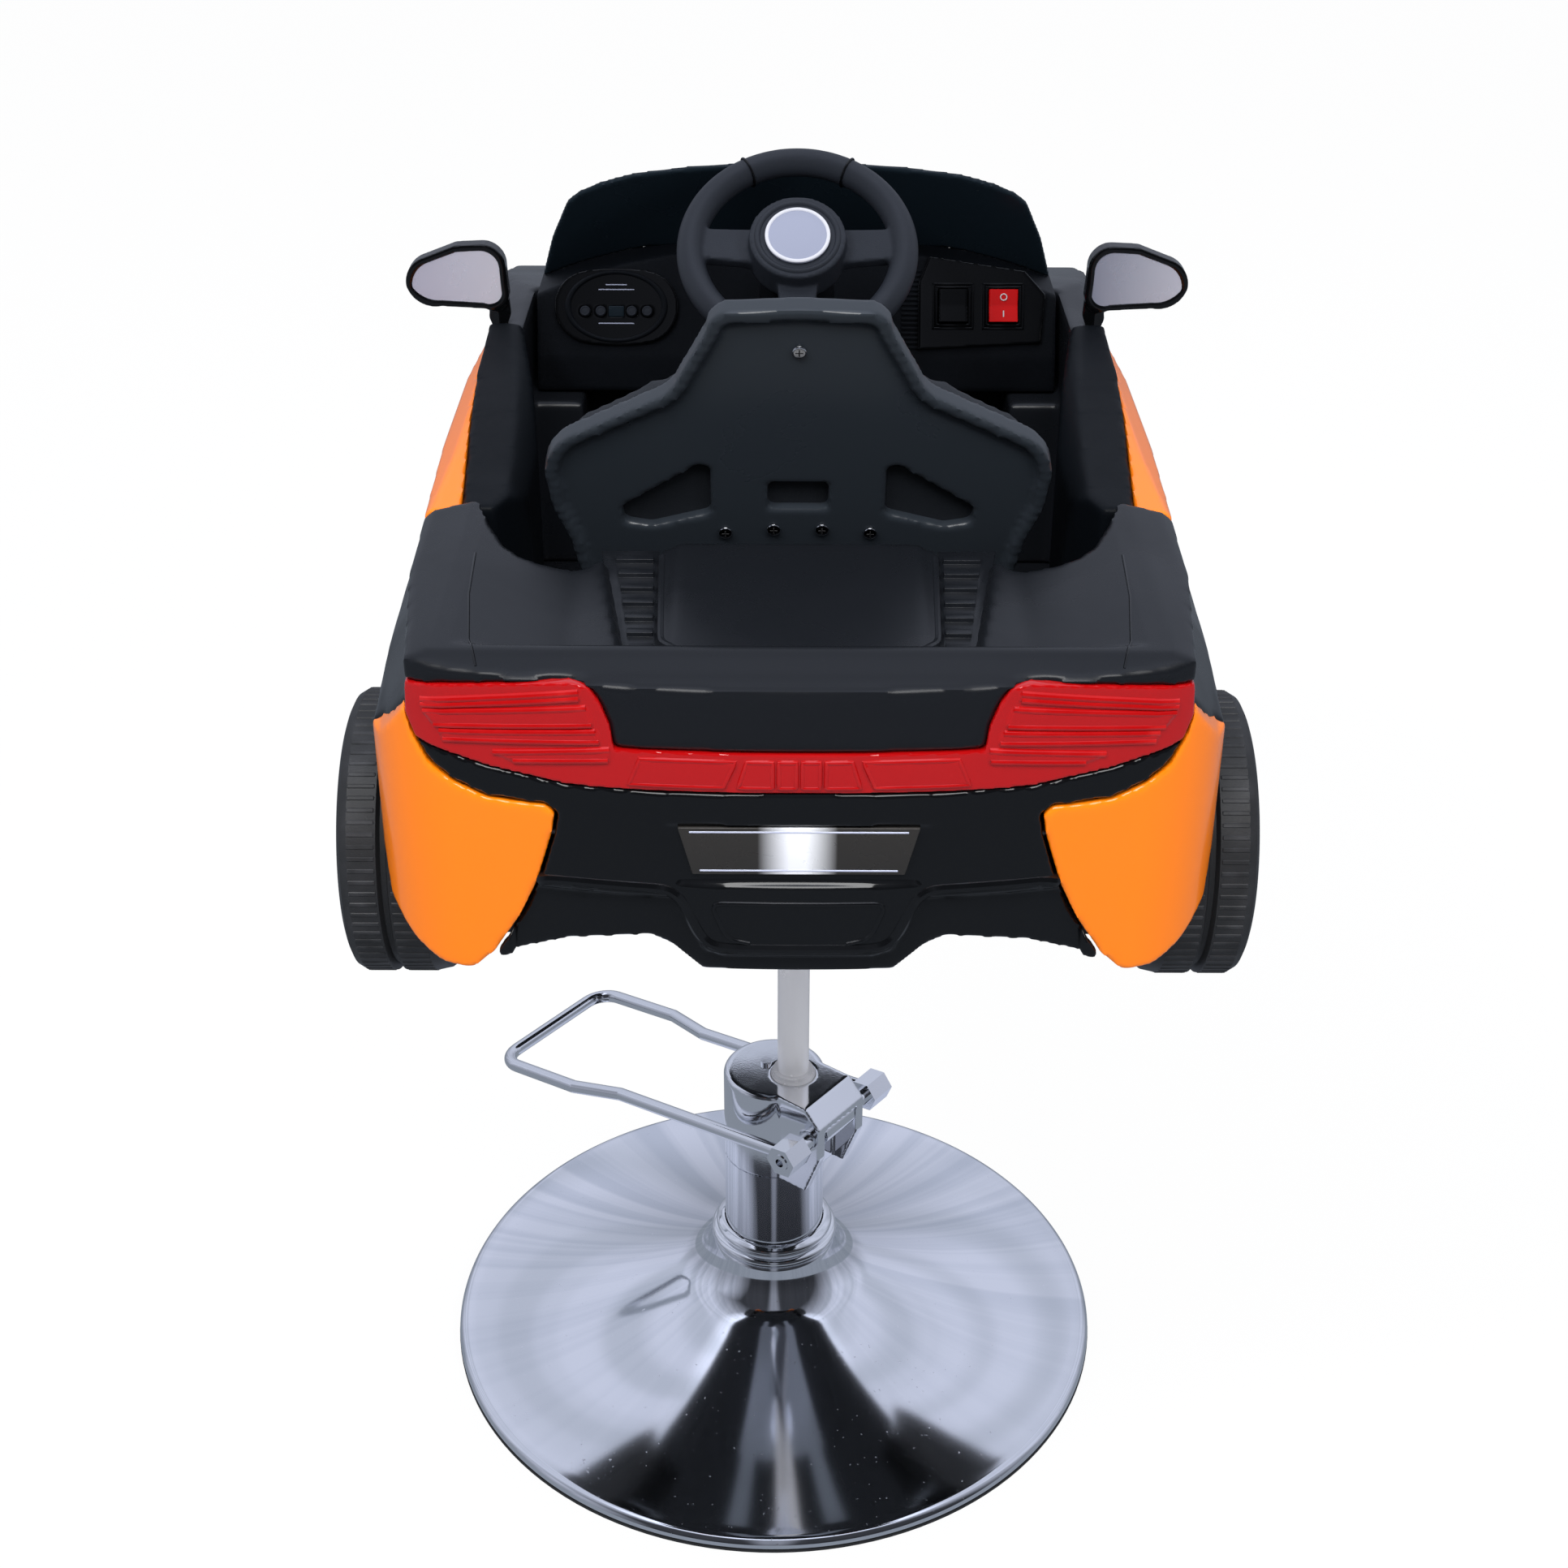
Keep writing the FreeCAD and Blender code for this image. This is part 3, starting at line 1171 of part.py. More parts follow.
# Dashboard, its two panels, buttons and rockers
dash_shares = [
    (0.3252, 0.7677), (0.3391, 0.8586), (0.4087, 1.1279), (0.4557, 1.1212), (0.5217, 1.0505),
    (0.5217, 0.8081), (0.4383, 0.8081), (0.4348, 0.7677)]
dash_points = scaled(dash_shares, front_reach, deck_height)
dash_side = slab_x("dash_side", [dash_points], -cockpit_half, cockpit_half)
dash_foot = dash_points[1]
dash_head = dash_points[2]
dash_lean = arctangent((dash_head[0] - dash_foot[0]) / (dash_head[1] - dash_foot[1]))
dash_front_shares = [
    (0, 0.7239), (0.8258, 0.7239), (0.8258, 1.0168), (0.6932, 1.0606), (0.5492, 1.0943),
    (0.3902, 1.1178), (0, 1.1279)]
dash_half = scaled(dash_front_shares, side_reach, deck_height)
dash_view = slab_y("dash_view", [both_halves(dash_half)], 0, front_reach)
dash_form = shared("dash_form", [dash_side, dash_view])
cowl_zone = slab_y("cowl_zone", [box(-side_reach * 1.2, side_reach * 1.2, 0,
                                     deck_height * 1.2)], cockpit_front, front_reach)
cowl = shared("cowl", [car_form, cowl_zone])
music_across = size("music_across", 151)
music_up = size("music_up", 42)
music_half = size("music_half", 52)
music_tall = size("music_tall", 32)
panel_sheet = size("panel_sheet", 4)
button_radius = size("button_radius", 4.5)
button_stroke = size("button_stroke", 1.5)
button_step = size("button_step", 13)
button_drop = size("button_drop", 4)
rocker_first = size("rocker_first", 131)
rocker_pitch = size("rocker_pitch", 42)
rocker_spots = [rocker_first, rocker_first + rocker_pitch]
rocker_up = size("rocker_up", 43)
rocker_half = size("rocker_half", 12)
rocker_tall = size("rocker_tall", 14)
rocker_gap = size("rocker_gap", 0.8)
rocker_room = size("rocker_room", 16)
bezel = size("bezel", 3)


def on_dash(thing, across=0, up=0, level=0):
    """Sets a piece drawn upright on the leaning dashboard face."""
    return place(thing, across, dash_foot[0] + sine(dash_lean) * up,
                 dash_foot[1] + cosine(dash_lean) * up + level, 0, 0, -dash_lean)


button_spots = []
for steps in (-2, -1, 1, 2):
    button_spots.append(button_step * steps - music_across)
button_wells = on_dash(slab_y("button_wells", [
    (spot, music_up - button_drop, button_radius + running_gap) for spot in button_spots],
    -panel_sheet * 2, button_stroke * 2))
rocker_wells = on_dash(slab_y("rocker_wells", [
    box(spot - rocker_half - rocker_gap / 2, spot + rocker_half + rocker_gap / 2,
        rocker_up - rocker_tall - rocker_gap, rocker_up + rocker_tall + rocker_gap)
    for spot in rocker_spots], -panel_sheet * 2, rocker_room))
dash = less("dashboard", dash_form, [cowl, column_hole, button_wells, rocker_wells])
piece(in_car(dash))

oval_shares = [
    (-0.4889, -0.9375), (0, -1, "bend"), (0.4889, -0.9375), (1, 0, "bend"), (0.4889, 0.9375),
    (0, 1, "bend"), (-0.4889, 0.9375), (-1, 0, "bend")]
oval = []
for point in scaled(oval_shares, music_half, music_tall):
    oval.append((point[0] - music_across, point[1] + music_up) + tuple(point[2:]))
display_half = size("display_half", 6)
display = box(-music_across - display_half, display_half - music_across,
              music_up - button_drop * 2, music_up)
music_form = on_dash(slab_y("music_form", [oval], -panel_sheet, 0))
display_room = on_dash(slab_y("display_room", [display], -panel_sheet * 2, -panel_sheet / 2))
piece(in_car(less("music_panel", music_form, [display_room, button_wells])))
button_proud = size("button_proud", 2.5)
for number, spot in enumerate(button_spots):
    button = slab_y("music_button_" + str(number + 1),
                    [(spot, music_up - button_drop, button_radius)],
                    -panel_sheet - button_proud, 0)
    piece(on_dash(button, 0, 0, car_level))

switch_shares = [
    (-0.6905, -0.8372), (1.7619, -0.6977), (1.8571, 0.2326), (1.4286, 0.6977),
    (-0.4762, 0.9767), (-0.6905, 0.4651)]
switch_outline = []
for point in scaled(switch_shares, rocker_pitch, rocker_up):
    switch_outline.append((point[0] + rocker_first, point[1] + rocker_up))
switch_form = on_dash(slab_y("switch_form", [switch_outline], -panel_sheet, 0))
bezels = on_dash(slab_y("bezels", [
    box(spot - rocker_half - bezel, spot + rocker_half + bezel,
        rocker_up - rocker_tall - bezel, rocker_up + rocker_tall + bezel)
    for spot in rocker_spots], -panel_sheet - bezel / 2, -panel_sheet / 2))
piece(in_car(less("switch_panel", fused("switch_solid", [switch_form, bezels]),
                  [rocker_wells])))
rocker_shares = [
    (-0.7143, -0.9714), (-0.5357, 0), (-0.7143, 0.9714), (-0.1429, 0.9286), (0, 0.5),
    (0.5, 0, "bend"), (0, -0.5), (-0.1429, -0.9286)]
rocker_loop = scaled(rocker_shares, rocker_tall, rocker_tall)
for label, spot in (("rocker_direction", rocker_spots[0]), ("rocker_power", rocker_spots[1])):
    rocker = slab_x(label, [rocker_loop], -rocker_half, rocker_half)
    piece(on_dash(rocker, spot, rocker_up, car_level))

# Windscreen: dark, bowed and leaning back, cut to sit on the cowl
screen_lean = size("screen_lean", 33.3)
screen_forward = size("screen_forward", 320)
screen_up = size("screen_up", 273)
screen_half = size("screen_half", 226)
screen_tall = size("screen_tall", 163)
screen_bow = size("screen_bow", 26)
screen_sheet = size("screen_sheet", 5)
screen_shares = [
    (0, 1.0147), (0.2633, 1.0123), (0.4336, 1.0025), (0.5916, 0.9877), (0.7212, 0.9448),
    (0.7991, 0.8975), (0.8416, 0.8429), (0.9115, 0.592), (0.9814, 0.2135), (1.031, -0.0491),
    (1.0354, -0.2454), (0, -0.2454)]
screen_outline = both_halves(scaled(screen_shares, screen_half, screen_tall))
screen_face = slab_y("screen_face", [screen_outline], -screen_bow * 2, screen_bow)
screen_ring = slab_z("screen_ring", [[
    (-screen_half * 1.05, -screen_bow), (0, 0, "bend"), (screen_half * 1.05, -screen_bow),
    (screen_half * 1.05, -screen_bow - screen_sheet), (0, -screen_sheet, "bend"),
    (-screen_half * 1.05, -screen_bow - screen_sheet)]], -screen_half, screen_half)
screen_form = place(shared("screen_form", [screen_face, screen_ring]),
                    0, screen_forward, screen_up, 0, 0, screen_lean)
piece(in_car(less("windscreen", screen_form, [cowl, dash_form])))

# Mirrors fold about their upright feet
mirror_shares = [
    (-0.1149, 0.8809), (-0.0946, 0.9446), (0, 0.9889, "bend"), (0.1757, 1), (0.4459, 0.9972),
    (0.7973, 0.9695), (0.9595, 0.9446, "bend"), (1.0068, 0.9058), (0.9324, 0.8781, "bend"),
    (0.6351, 0.8587), (0.1486, 0.8532), (-0.0541, 0.8587, "bend")]
mirror_height = size("mirror_height", 361)


def beyond_foot(shares):
    """Points of a mirror's outline, measured across from its foot."""
    points = scaled(shares, mirror_span, mirror_height)
    return [(mirror_across + point[0],) + point[1:] for point in points]


mirror_outline = beyond_foot(mirror_shares)
mirror_back = size("mirror_back", 160)
mirror_depth = size("mirror_depth", 16)
mirror_case = slab_y("mirror_case", [mirror_outline], mirror_back, mirror_back + mirror_depth)
glass_shares = [
    (-0.0405, 0.8864), (-0.027, 0.9418), (0.0541, 0.9778, "bend"), (0.1892, 0.9861),
    (0.4324, 0.9834), (0.7568, 0.9584), (0.8919, 0.9363, "bend"), (0.9392, 0.903),
    (0.8784, 0.8892, "bend"), (0.6216, 0.8726), (0.1622, 0.867), (0, 0.8726, "bend")]
glass_outline = beyond_foot(glass_shares)
glass_sheet = size("glass_sheet", 3)
glass_room = slab_y("glass_room", [glass_outline], mirror_back - overrun,
                    mirror_back + glass_sheet)
arm_shares = [
    (-0.0946, 0.892), (0.0946, 0.8809), (0.1216, 0.831), (0.0811, 0.8089), (-0.0811, 0.8144),
    (-0.1216, 0.8366)]
mirror_arm = slab_y("mirror_arm", [beyond_foot(arm_shares)],
                    mirror_back + glass_sheet, mirror_back + mirror_depth * 0.8)
mirror_foot = slab_z("mirror_foot", [(mirror_across, mirror_forward, mirror_foot_radius)],
                     mirror_foot_low, deck_height * 1.04)
arm_clear = shared("arm_clear", [car_form,
                                 slab_z("arm_zone", [box(mirror_across * 0.9,
                                                         mirror_across * 1.1,
                                                         door_front, cockpit_front)],
                                        deck_height * 0.8, deck_height * 1.1)])
mirror_trim = less("mirror_trim", mirror_arm, [arm_clear])
mirror_solid = fused("mirror_solid", [mirror_case, mirror_trim, mirror_foot])
mirror = in_car(less("mirror_right", mirror_solid, [glass_room]))
piece(mirror)
piece(flipped("mirror_left", mirror))
glass = in_car(slab_y("mirror_glass_right", [glass_outline], mirror_back + glass_sheet * 0.4,
                      mirror_back + glass_sheet))
piece(glass)
piece(flipped("mirror_glass_left", glass))

# Steering wheel, drawn flat, with its shaft and crank
rim_middle = size("rim_middle", 84)
rim_section = size("rim_section", 11)
wheel_hub_radius = size("wheel_hub_radius", 38)
wheel_hub_top = size("wheel_hub_top", 18)
wheel_hub_low = size("wheel_hub_low", 10)
badge_radius = size("badge_radius", 26)
badge_height = size("badge_height", 3)
spoke_half = size("spoke_half", 15)
spoke_thickness = size("spoke_thickness", 5)
rim_body = new_body("rim_body")
rim_sketch = new_sketch(rim_body, "XZ_Plane", [(rim_middle, 0, rim_section)])
rim_turn = rim_body.newObject("PartDesign::Revolution", "rim_turn")
rim_turn.Profile = rim_sketch
rim_turn.ReferenceAxis = (rim_sketch, ["V_Axis"])
rim_turn.Angle = 360
rim_body.Tip = rim_turn
side_spokes = slab_z("side_spokes", [[
    (-rim_middle, -spoke_half * 0.6), (0, -spoke_half * 1.3), (rim_middle, -spoke_half * 0.6),
    (rim_middle, spoke_half * 1.2), (0, spoke_half), (-rim_middle, spoke_half * 1.2)]],
    -spoke_thickness, spoke_thickness)
low_spoke = slab_z("low_spoke", [[
    (-spoke_half * 0.8, -rim_middle), (spoke_half * 0.8, -rim_middle), (spoke_half * 1.2, 0),
    (-spoke_half * 1.2, 0)]], -spoke_thickness, spoke_thickness)
hub_round = slab_z("hub_round", [(0, 0, wheel_hub_radius)], -wheel_hub_low, wheel_hub_top)
piece(on_column(fused("steering_wheel", [rim_body, side_spokes, low_spoke, hub_round])))
piece(on_column(slab_z("steering_badge", [(0, 0, badge_radius)], wheel_hub_top,
                       wheel_hub_top + badge_height)))
crank_length = size("crank_length", 14.3)
crank_half = size("crank_half", 8)
crank_thickness = size("crank_thickness", 6)
crank_pin_radius = size("crank_pin_radius", 4)
crank_neck_radius = size("crank_neck_radius", 2.4)
crank_ball_drop = size("crank_ball_drop", 19)
shaft_form = slab_z("shaft_form", [(0, 0, column_radius)], -column_length, -wheel_hub_low)
crank = slab_z("crank", [box(-crank_half, crank_half, -crank_length - crank_half, crank_half)],
               -column_length, crank_thickness - column_length)
crank_neck = slab_z("crank_neck", [(0, 0, crank_neck_radius)], -crank_ball_drop, 0)
crank_ball = spun("crank_ball", [[
    (0, -crank_ball_drop - crank_pin_radius), (crank_pin_radius, -crank_ball_drop, "bend"),
    (0, -crank_ball_drop + crank_pin_radius)]])
for part in (crank_neck, crank_ball):
    place(part, 0, -crank_length, -column_length + crank_thickness / 2, 0, 0, -wheel_lean)
piece(on_column(fused("steering_shaft", [shaft_form, crank, crank_neck, crank_ball])))

# Wheels: one profile, four times
tyre_half = size("tyre_half", 35)
tread_across = size("tread_across", 263)
tyre_shares = [
    (0.8542, -1), (0.9375, -0.9714), (0.9792, -0.8286), (1, -0.5714), (1, 0.0286),
    (0.9479, 0.0714), (0.9479, 0.1714), (1, 0.2286), (1, 0.7714), (0.9688, 0.9143),
    (0.9271, 0.9714), (0.8958, 1), (0.7917, 1), (0.75, 0.8857), (0.7188, 0.5143), (0.375, 0.4),
    (0.3438, 0.7429), (0.2917, 0.8857), (0.1042, 0.9429)]
wheel_inner_shares = [
    (0.1042, -0.8857), (0.2708, -0.8571), (0.2917, 0.0571), (0.7292, 0.1714), (0.7917, -0.8857)]


def road_wheel(name, across, forward, turn):
    """A wheel on its axle; the turn brings its outer face to one side."""
    outer = scaled(tyre_shares, tyre_radius, tyre_half)
    inner = scaled(wheel_inner_shares, tyre_radius, tyre_half)
    bore = axle_radius + running_gap
    loop = outer + [(bore, tyre_half * 0.94), (bore, -tyre_half * 0.9)] + inner
    form = spun(name, [loop])
    piece(in_car(form, across, forward, axle_height, 0, turn, 0))


quarter_turn = size("quarter_turn", 90)
road_wheel("wheel_rear_right", tread_across, -rear_axle_back, quarter_turn)
road_wheel("wheel_rear_left", -tread_across, -rear_axle_back, -quarter_turn)
road_wheel("wheel_front_right", tread_across, front_axle_forward, quarter_turn)
road_wheel("wheel_front_left", -tread_across, front_axle_forward, -quarter_turn)
axle_end = size("axle_end", 4)
axle_reach = tread_across + tyre_half - axle_end
rear_axle = slab_x("rear_axle", [(0, 0, axle_radius)], -axle_reach, axle_reach)
piece(in_car(rear_axle, 0, -rear_axle_back, axle_height))

# Front knuckles and the rod that ties them
knuckle_radius = size("knuckle_radius", 13)
arm_low = size("arm_low", 108)
arm_top = size("arm_top", 116)
arm_length = size("arm_length", 30)
arm_half = size("arm_half", 8)
arm_pin_radius = size("arm_pin_radius", 4)
rod_low = size("rod_low", 117)
rod_high = size("rod_high", 125)
pin_play = size("pin_play", 0.7)
knuckle_block = slab_z("knuckle_block", [(kingpin_across, front_axle_forward, knuckle_radius)],
                       sill_bottom, arm_top)
kingpin = slab_z("kingpin", [(kingpin_across, front_axle_forward, kingpin_radius)],
                 pan_low, sill_bottom)
stub = slab_x("stub", [(0, 0, axle_radius)], kingpin_across, axle_reach)
place(stub, 0, front_axle_forward, axle_height)
arm_back = front_axle_forward - arm_length
arm_plate = slab_z("arm_plate", [box(kingpin_across - arm_half, kingpin_across + arm_half,
                                     arm_back - arm_half, front_axle_forward)], arm_low, arm_top)
arm_pin = slab_z("arm_pin", [(kingpin_across, arm_back, arm_pin_radius)], arm_top, rod_high)
knuckle = in_car(fused("knuckle_right", [knuckle_block, kingpin, stub, arm_plate, arm_pin]))
piece(knuckle)
piece(flipped("knuckle_left", knuckle))
rod_bar = slab_z("rod_bar", [box(-kingpin_across - arm_half * 1.6,
                                 kingpin_across + arm_half * 1.6,
                                 arm_back - arm_half * 1.2, arm_back + arm_half * 1.2)],
                 rod_low, rod_high)
slot_across = arm_pin_radius + pin_play
slot_along = arm_pin_radius * 1.6
rod_slots = slab_z("rod_slots", [
    box(spot - slot_across, spot + slot_across, arm_back - slot_along, arm_back + slot_along)
    for spot in (kingpin_across, -kingpin_across)], rod_low - overrun, rod_high + overrun)
crank_forward = size("crank_forward", 277.3)
rod_lug = slab_z("rod_lug", [box(-arm_half * 1.6, arm_half * 1.6,
                                 arm_back, crank_forward + slot_along * 1.5)], rod_low, rod_high)
crank_slot = slab_z("crank_slot", [box(-slot_across, slot_across,
                                       crank_forward - slot_along, crank_forward + slot_along)],
                    rod_low - overrun, rod_high + overrun)
piece(in_car(less("tie_rod", fused("rod_solid", [rod_bar, rod_lug]), [rod_slots, crank_slot])))

# Foot pedal on a cross pin between two lugs of the pan
foot_plate_shares = [
    (-0.05, 0.0667), (0.0667, -0.0333), (0.8667, 0.9167), (0.7667, 1)]
foot_plate_scale = size("foot_plate_scale", 60)
foot_plate = slab_x("foot_plate", [scaled(foot_plate_shares, foot_plate_scale,
                                          foot_plate_scale)],
                    foot_across - foot_half, foot_across + foot_half)
foot_pin = slab_x("foot_pin", [(0, 0, foot_hinge_radius)],
                  foot_across - foot_half - foot_lug_width, foot_across + foot_half
                  + foot_lug_width)
foot_pedal = fused("foot_pedal", [foot_plate, foot_pin])
piece(in_car(foot_pedal, 0, foot_hinge_forward, foot_hinge_up))


doc.recompute()
for thing in pieces:
    shape = thing.Shape
    if shape.isNull() or not shape.isValid():
        raise RuntimeError("piece without a sound form: " + thing.Label)
for thing in doc.Objects:
    if "Invalid" in thing.State or "Error" in thing.State:
        raise RuntimeError("object not rebuilt: " + thing.Label)
for thing in pieces:
    thing.Shape.exportStep("parts/" + thing.Label + ".step")
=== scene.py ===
"""Looks of a child's ride-on car on a hydraulic pump stand: finishes, rounded mouldings and detail."""
import json
import math
import bpy
from mathutils import Matrix, Vector

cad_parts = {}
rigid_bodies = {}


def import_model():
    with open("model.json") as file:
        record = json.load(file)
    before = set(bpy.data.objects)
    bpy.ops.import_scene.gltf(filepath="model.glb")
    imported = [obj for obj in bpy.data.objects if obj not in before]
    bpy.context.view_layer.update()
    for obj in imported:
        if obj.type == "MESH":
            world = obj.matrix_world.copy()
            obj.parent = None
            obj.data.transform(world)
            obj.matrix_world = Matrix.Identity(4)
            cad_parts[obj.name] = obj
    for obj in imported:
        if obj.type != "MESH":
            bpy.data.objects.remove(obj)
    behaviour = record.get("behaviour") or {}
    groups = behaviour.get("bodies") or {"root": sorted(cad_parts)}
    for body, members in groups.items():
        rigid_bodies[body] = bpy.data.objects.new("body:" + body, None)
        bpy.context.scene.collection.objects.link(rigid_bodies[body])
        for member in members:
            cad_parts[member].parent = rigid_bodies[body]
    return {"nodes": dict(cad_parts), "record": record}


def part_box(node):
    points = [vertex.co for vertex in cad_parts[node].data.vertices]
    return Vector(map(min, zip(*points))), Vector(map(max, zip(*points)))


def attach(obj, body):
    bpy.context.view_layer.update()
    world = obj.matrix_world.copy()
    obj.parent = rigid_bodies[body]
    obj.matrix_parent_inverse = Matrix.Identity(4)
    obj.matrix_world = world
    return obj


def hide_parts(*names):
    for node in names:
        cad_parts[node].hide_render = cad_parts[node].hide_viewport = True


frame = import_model()
nodes = frame["nodes"]
body_of_node = {n: b for b, members in frame["record"]["behaviour"]["bodies"].items() for n in members}
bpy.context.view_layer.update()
mm = 0.001
car_level = 631


# Camera, lamps and floor
def set_camera():
    """The photograph's camera: behind the car and above it, looking down at the tail."""
    lens_mm = 52.17
    place = Vector((-9.1, -1640.4, 1526.5)) * mm
    look_down = math.radians(29.85)
    tilt = math.radians(0.2)
    data = bpy.data.cameras.new("photo_camera")
    data.sensor_width = 36
    data.lens = lens_mm
    data.clip_end = 100
    camera = bpy.data.objects.new("photo_camera", data)
    bpy.context.scene.collection.objects.link(camera)
    turn = Matrix.Rotation(math.pi / 2 - look_down, 4, "X") @ Matrix.Rotation(tilt, 4, "Z")
    camera.matrix_world = Matrix.Translation(place) @ turn
    bpy.context.scene.camera = camera


def add_lamp(name, place, target, width, height, watts, shines=False):
    """A soft lamp turned to a target; one that shines also shows as a gleam."""
    data = bpy.data.lights.new(name, "AREA")
    data.shape = "RECTANGLE"
    data.size = width
    data.size_y = height
    data.energy = watts
    lamp = bpy.data.objects.new(name, data)
    lamp.visible_glossy = shines
    bpy.context.scene.collection.objects.link(lamp)
    away = Vector(place) - Vector(target)
    turn = away.to_track_quat("Z", "Y").to_matrix().to_4x4()
    lamp.matrix_world = Matrix.Translation(Vector(place)) @ turn
    return lamp


def add_node(tree, kind, settings=(), values=()):
    node = tree.nodes.new(kind)
    for label, value in dict(settings).items():
        setattr(node, label, value)
    for label, value in dict(values).items():
        node.inputs[label].default_value = value
    return node


def curtain_colour(tree):
    """What bright metal mirrors: pale folds ahead and above, a dim room and one window behind."""
    place = add_node(tree, "ShaderNodeTexCoord")
    parts = add_node(tree, "ShaderNodeSeparateXYZ")
    azimuth = add_node(tree, "ShaderNodeMath", {"operation": "ARCTAN2"})
    folds = add_node(tree, "ShaderNodeTexNoise", {"noise_dimensions": "1D"},
                     {"Scale": 6.5, "Detail": 1.5, "Roughness": 0.4})
    soft = add_node(tree, "ShaderNodeMapRange", values={"From Min": 0.36, "From Max": 0.6})
    cloth = add_node(tree, "ShaderNodeMix", {"data_type": "RGBA"})
    cloth.inputs["A"].default_value = (0.46, 0.5, 0.6, 1)
    cloth.inputs["B"].default_value = (0.58, 0.62, 0.75, 1)
    ahead = add_node(tree, "ShaderNodeMapRange",
                     values={"From Min": -0.45, "From Max": 0.1, "To Min": 0.07, "To Max": 1})
    left = add_node(tree, "ShaderNodeMapRange",
                    values={"From Min": -0.55, "From Max": -0.85, "To Min": 0, "To Max": 0.8})
    sides = add_node(tree, "ShaderNodeMath", {"operation": "MAXIMUM"})
    high = add_node(tree, "ShaderNodeMapRange",
                    values={"From Min": 0.1, "From Max": 0.5, "To Min": 0.65, "To Max": 1})
    lit = add_node(tree, "ShaderNodeMath", {"operation": "MULTIPLY"})
    middle = add_node(tree, "ShaderNodeMath", {"operation": "ABSOLUTE"})
    strip = add_node(tree, "ShaderNodeMapRange",
                     values={"From Min": 0.04, "From Max": 0.14, "To Min": 0.42, "To Max": 0})
    behind = add_node(tree, "ShaderNodeMapRange", values={"From Min": -0.2, "From Max": -0.45})
    window = add_node(tree, "ShaderNodeMath", {"operation": "MULTIPLY"})
    round_about = add_node(tree, "ShaderNodeMath", {"operation": "MAXIMUM"})
    overhead = add_node(tree, "ShaderNodeMapRange",
                        values={"From Min": 0.86, "From Max": 0.97, "To Min": 0, "To Max": 2.4})
    total = add_node(tree, "ShaderNodeMath", {"operation": "MAXIMUM"})
    shade = add_node(tree, "ShaderNodeVectorMath", {"operation": "SCALE"})
    tree.links.new(place.outputs["Generated"], parts.inputs[0])
    tree.links.new(parts.outputs["Y"], azimuth.inputs[0])
    tree.links.new(parts.outputs["X"], azimuth.inputs[1])
    tree.links.new(azimuth.outputs[0], folds.inputs["W"])
    tree.links.new(folds.outputs["Fac"], soft.inputs["Value"])
    tree.links.new(soft.outputs["Result"], cloth.inputs["Factor"])
    tree.links.new(parts.outputs["Y"], ahead.inputs["Value"])
    tree.links.new(parts.outputs["X"], left.inputs["Value"])
    tree.links.new(ahead.outputs["Result"], sides.inputs[0])
    tree.links.new(left.outputs["Result"], sides.inputs[1])
    tree.links.new(parts.outputs["Z"], high.inputs["Value"])
    tree.links.new(parts.outputs["Z"], overhead.inputs["Value"])
    tree.links.new(parts.outputs["X"], middle.inputs[0])
    tree.links.new(middle.outputs[0], strip.inputs["Value"])
    tree.links.new(parts.outputs["Y"], behind.inputs["Value"])
    tree.links.new(strip.outputs["Result"], window.inputs[0])
    tree.links.new(behind.outputs["Result"], window.inputs[1])
    tree.links.new(sides.outputs[0], round_about.inputs[0])
    tree.links.new(window.outputs[0], round_about.inputs[1])
    tree.links.new(round_about.outputs[0], lit.inputs[0])
    tree.links.new(high.outputs["Result"], lit.inputs[1])
    tree.links.new(lit.outputs[0], total.inputs[0])
    tree.links.new(overhead.outputs["Result"], total.inputs[1])
    tree.links.new(cloth.outputs["Result"], shade.inputs[0])
    tree.links.new(total.outputs[0], shade.inputs["Scale"])
    return shade.outputs[0]


rear_pieces = bpy.data.collections.new("rear_pieces")


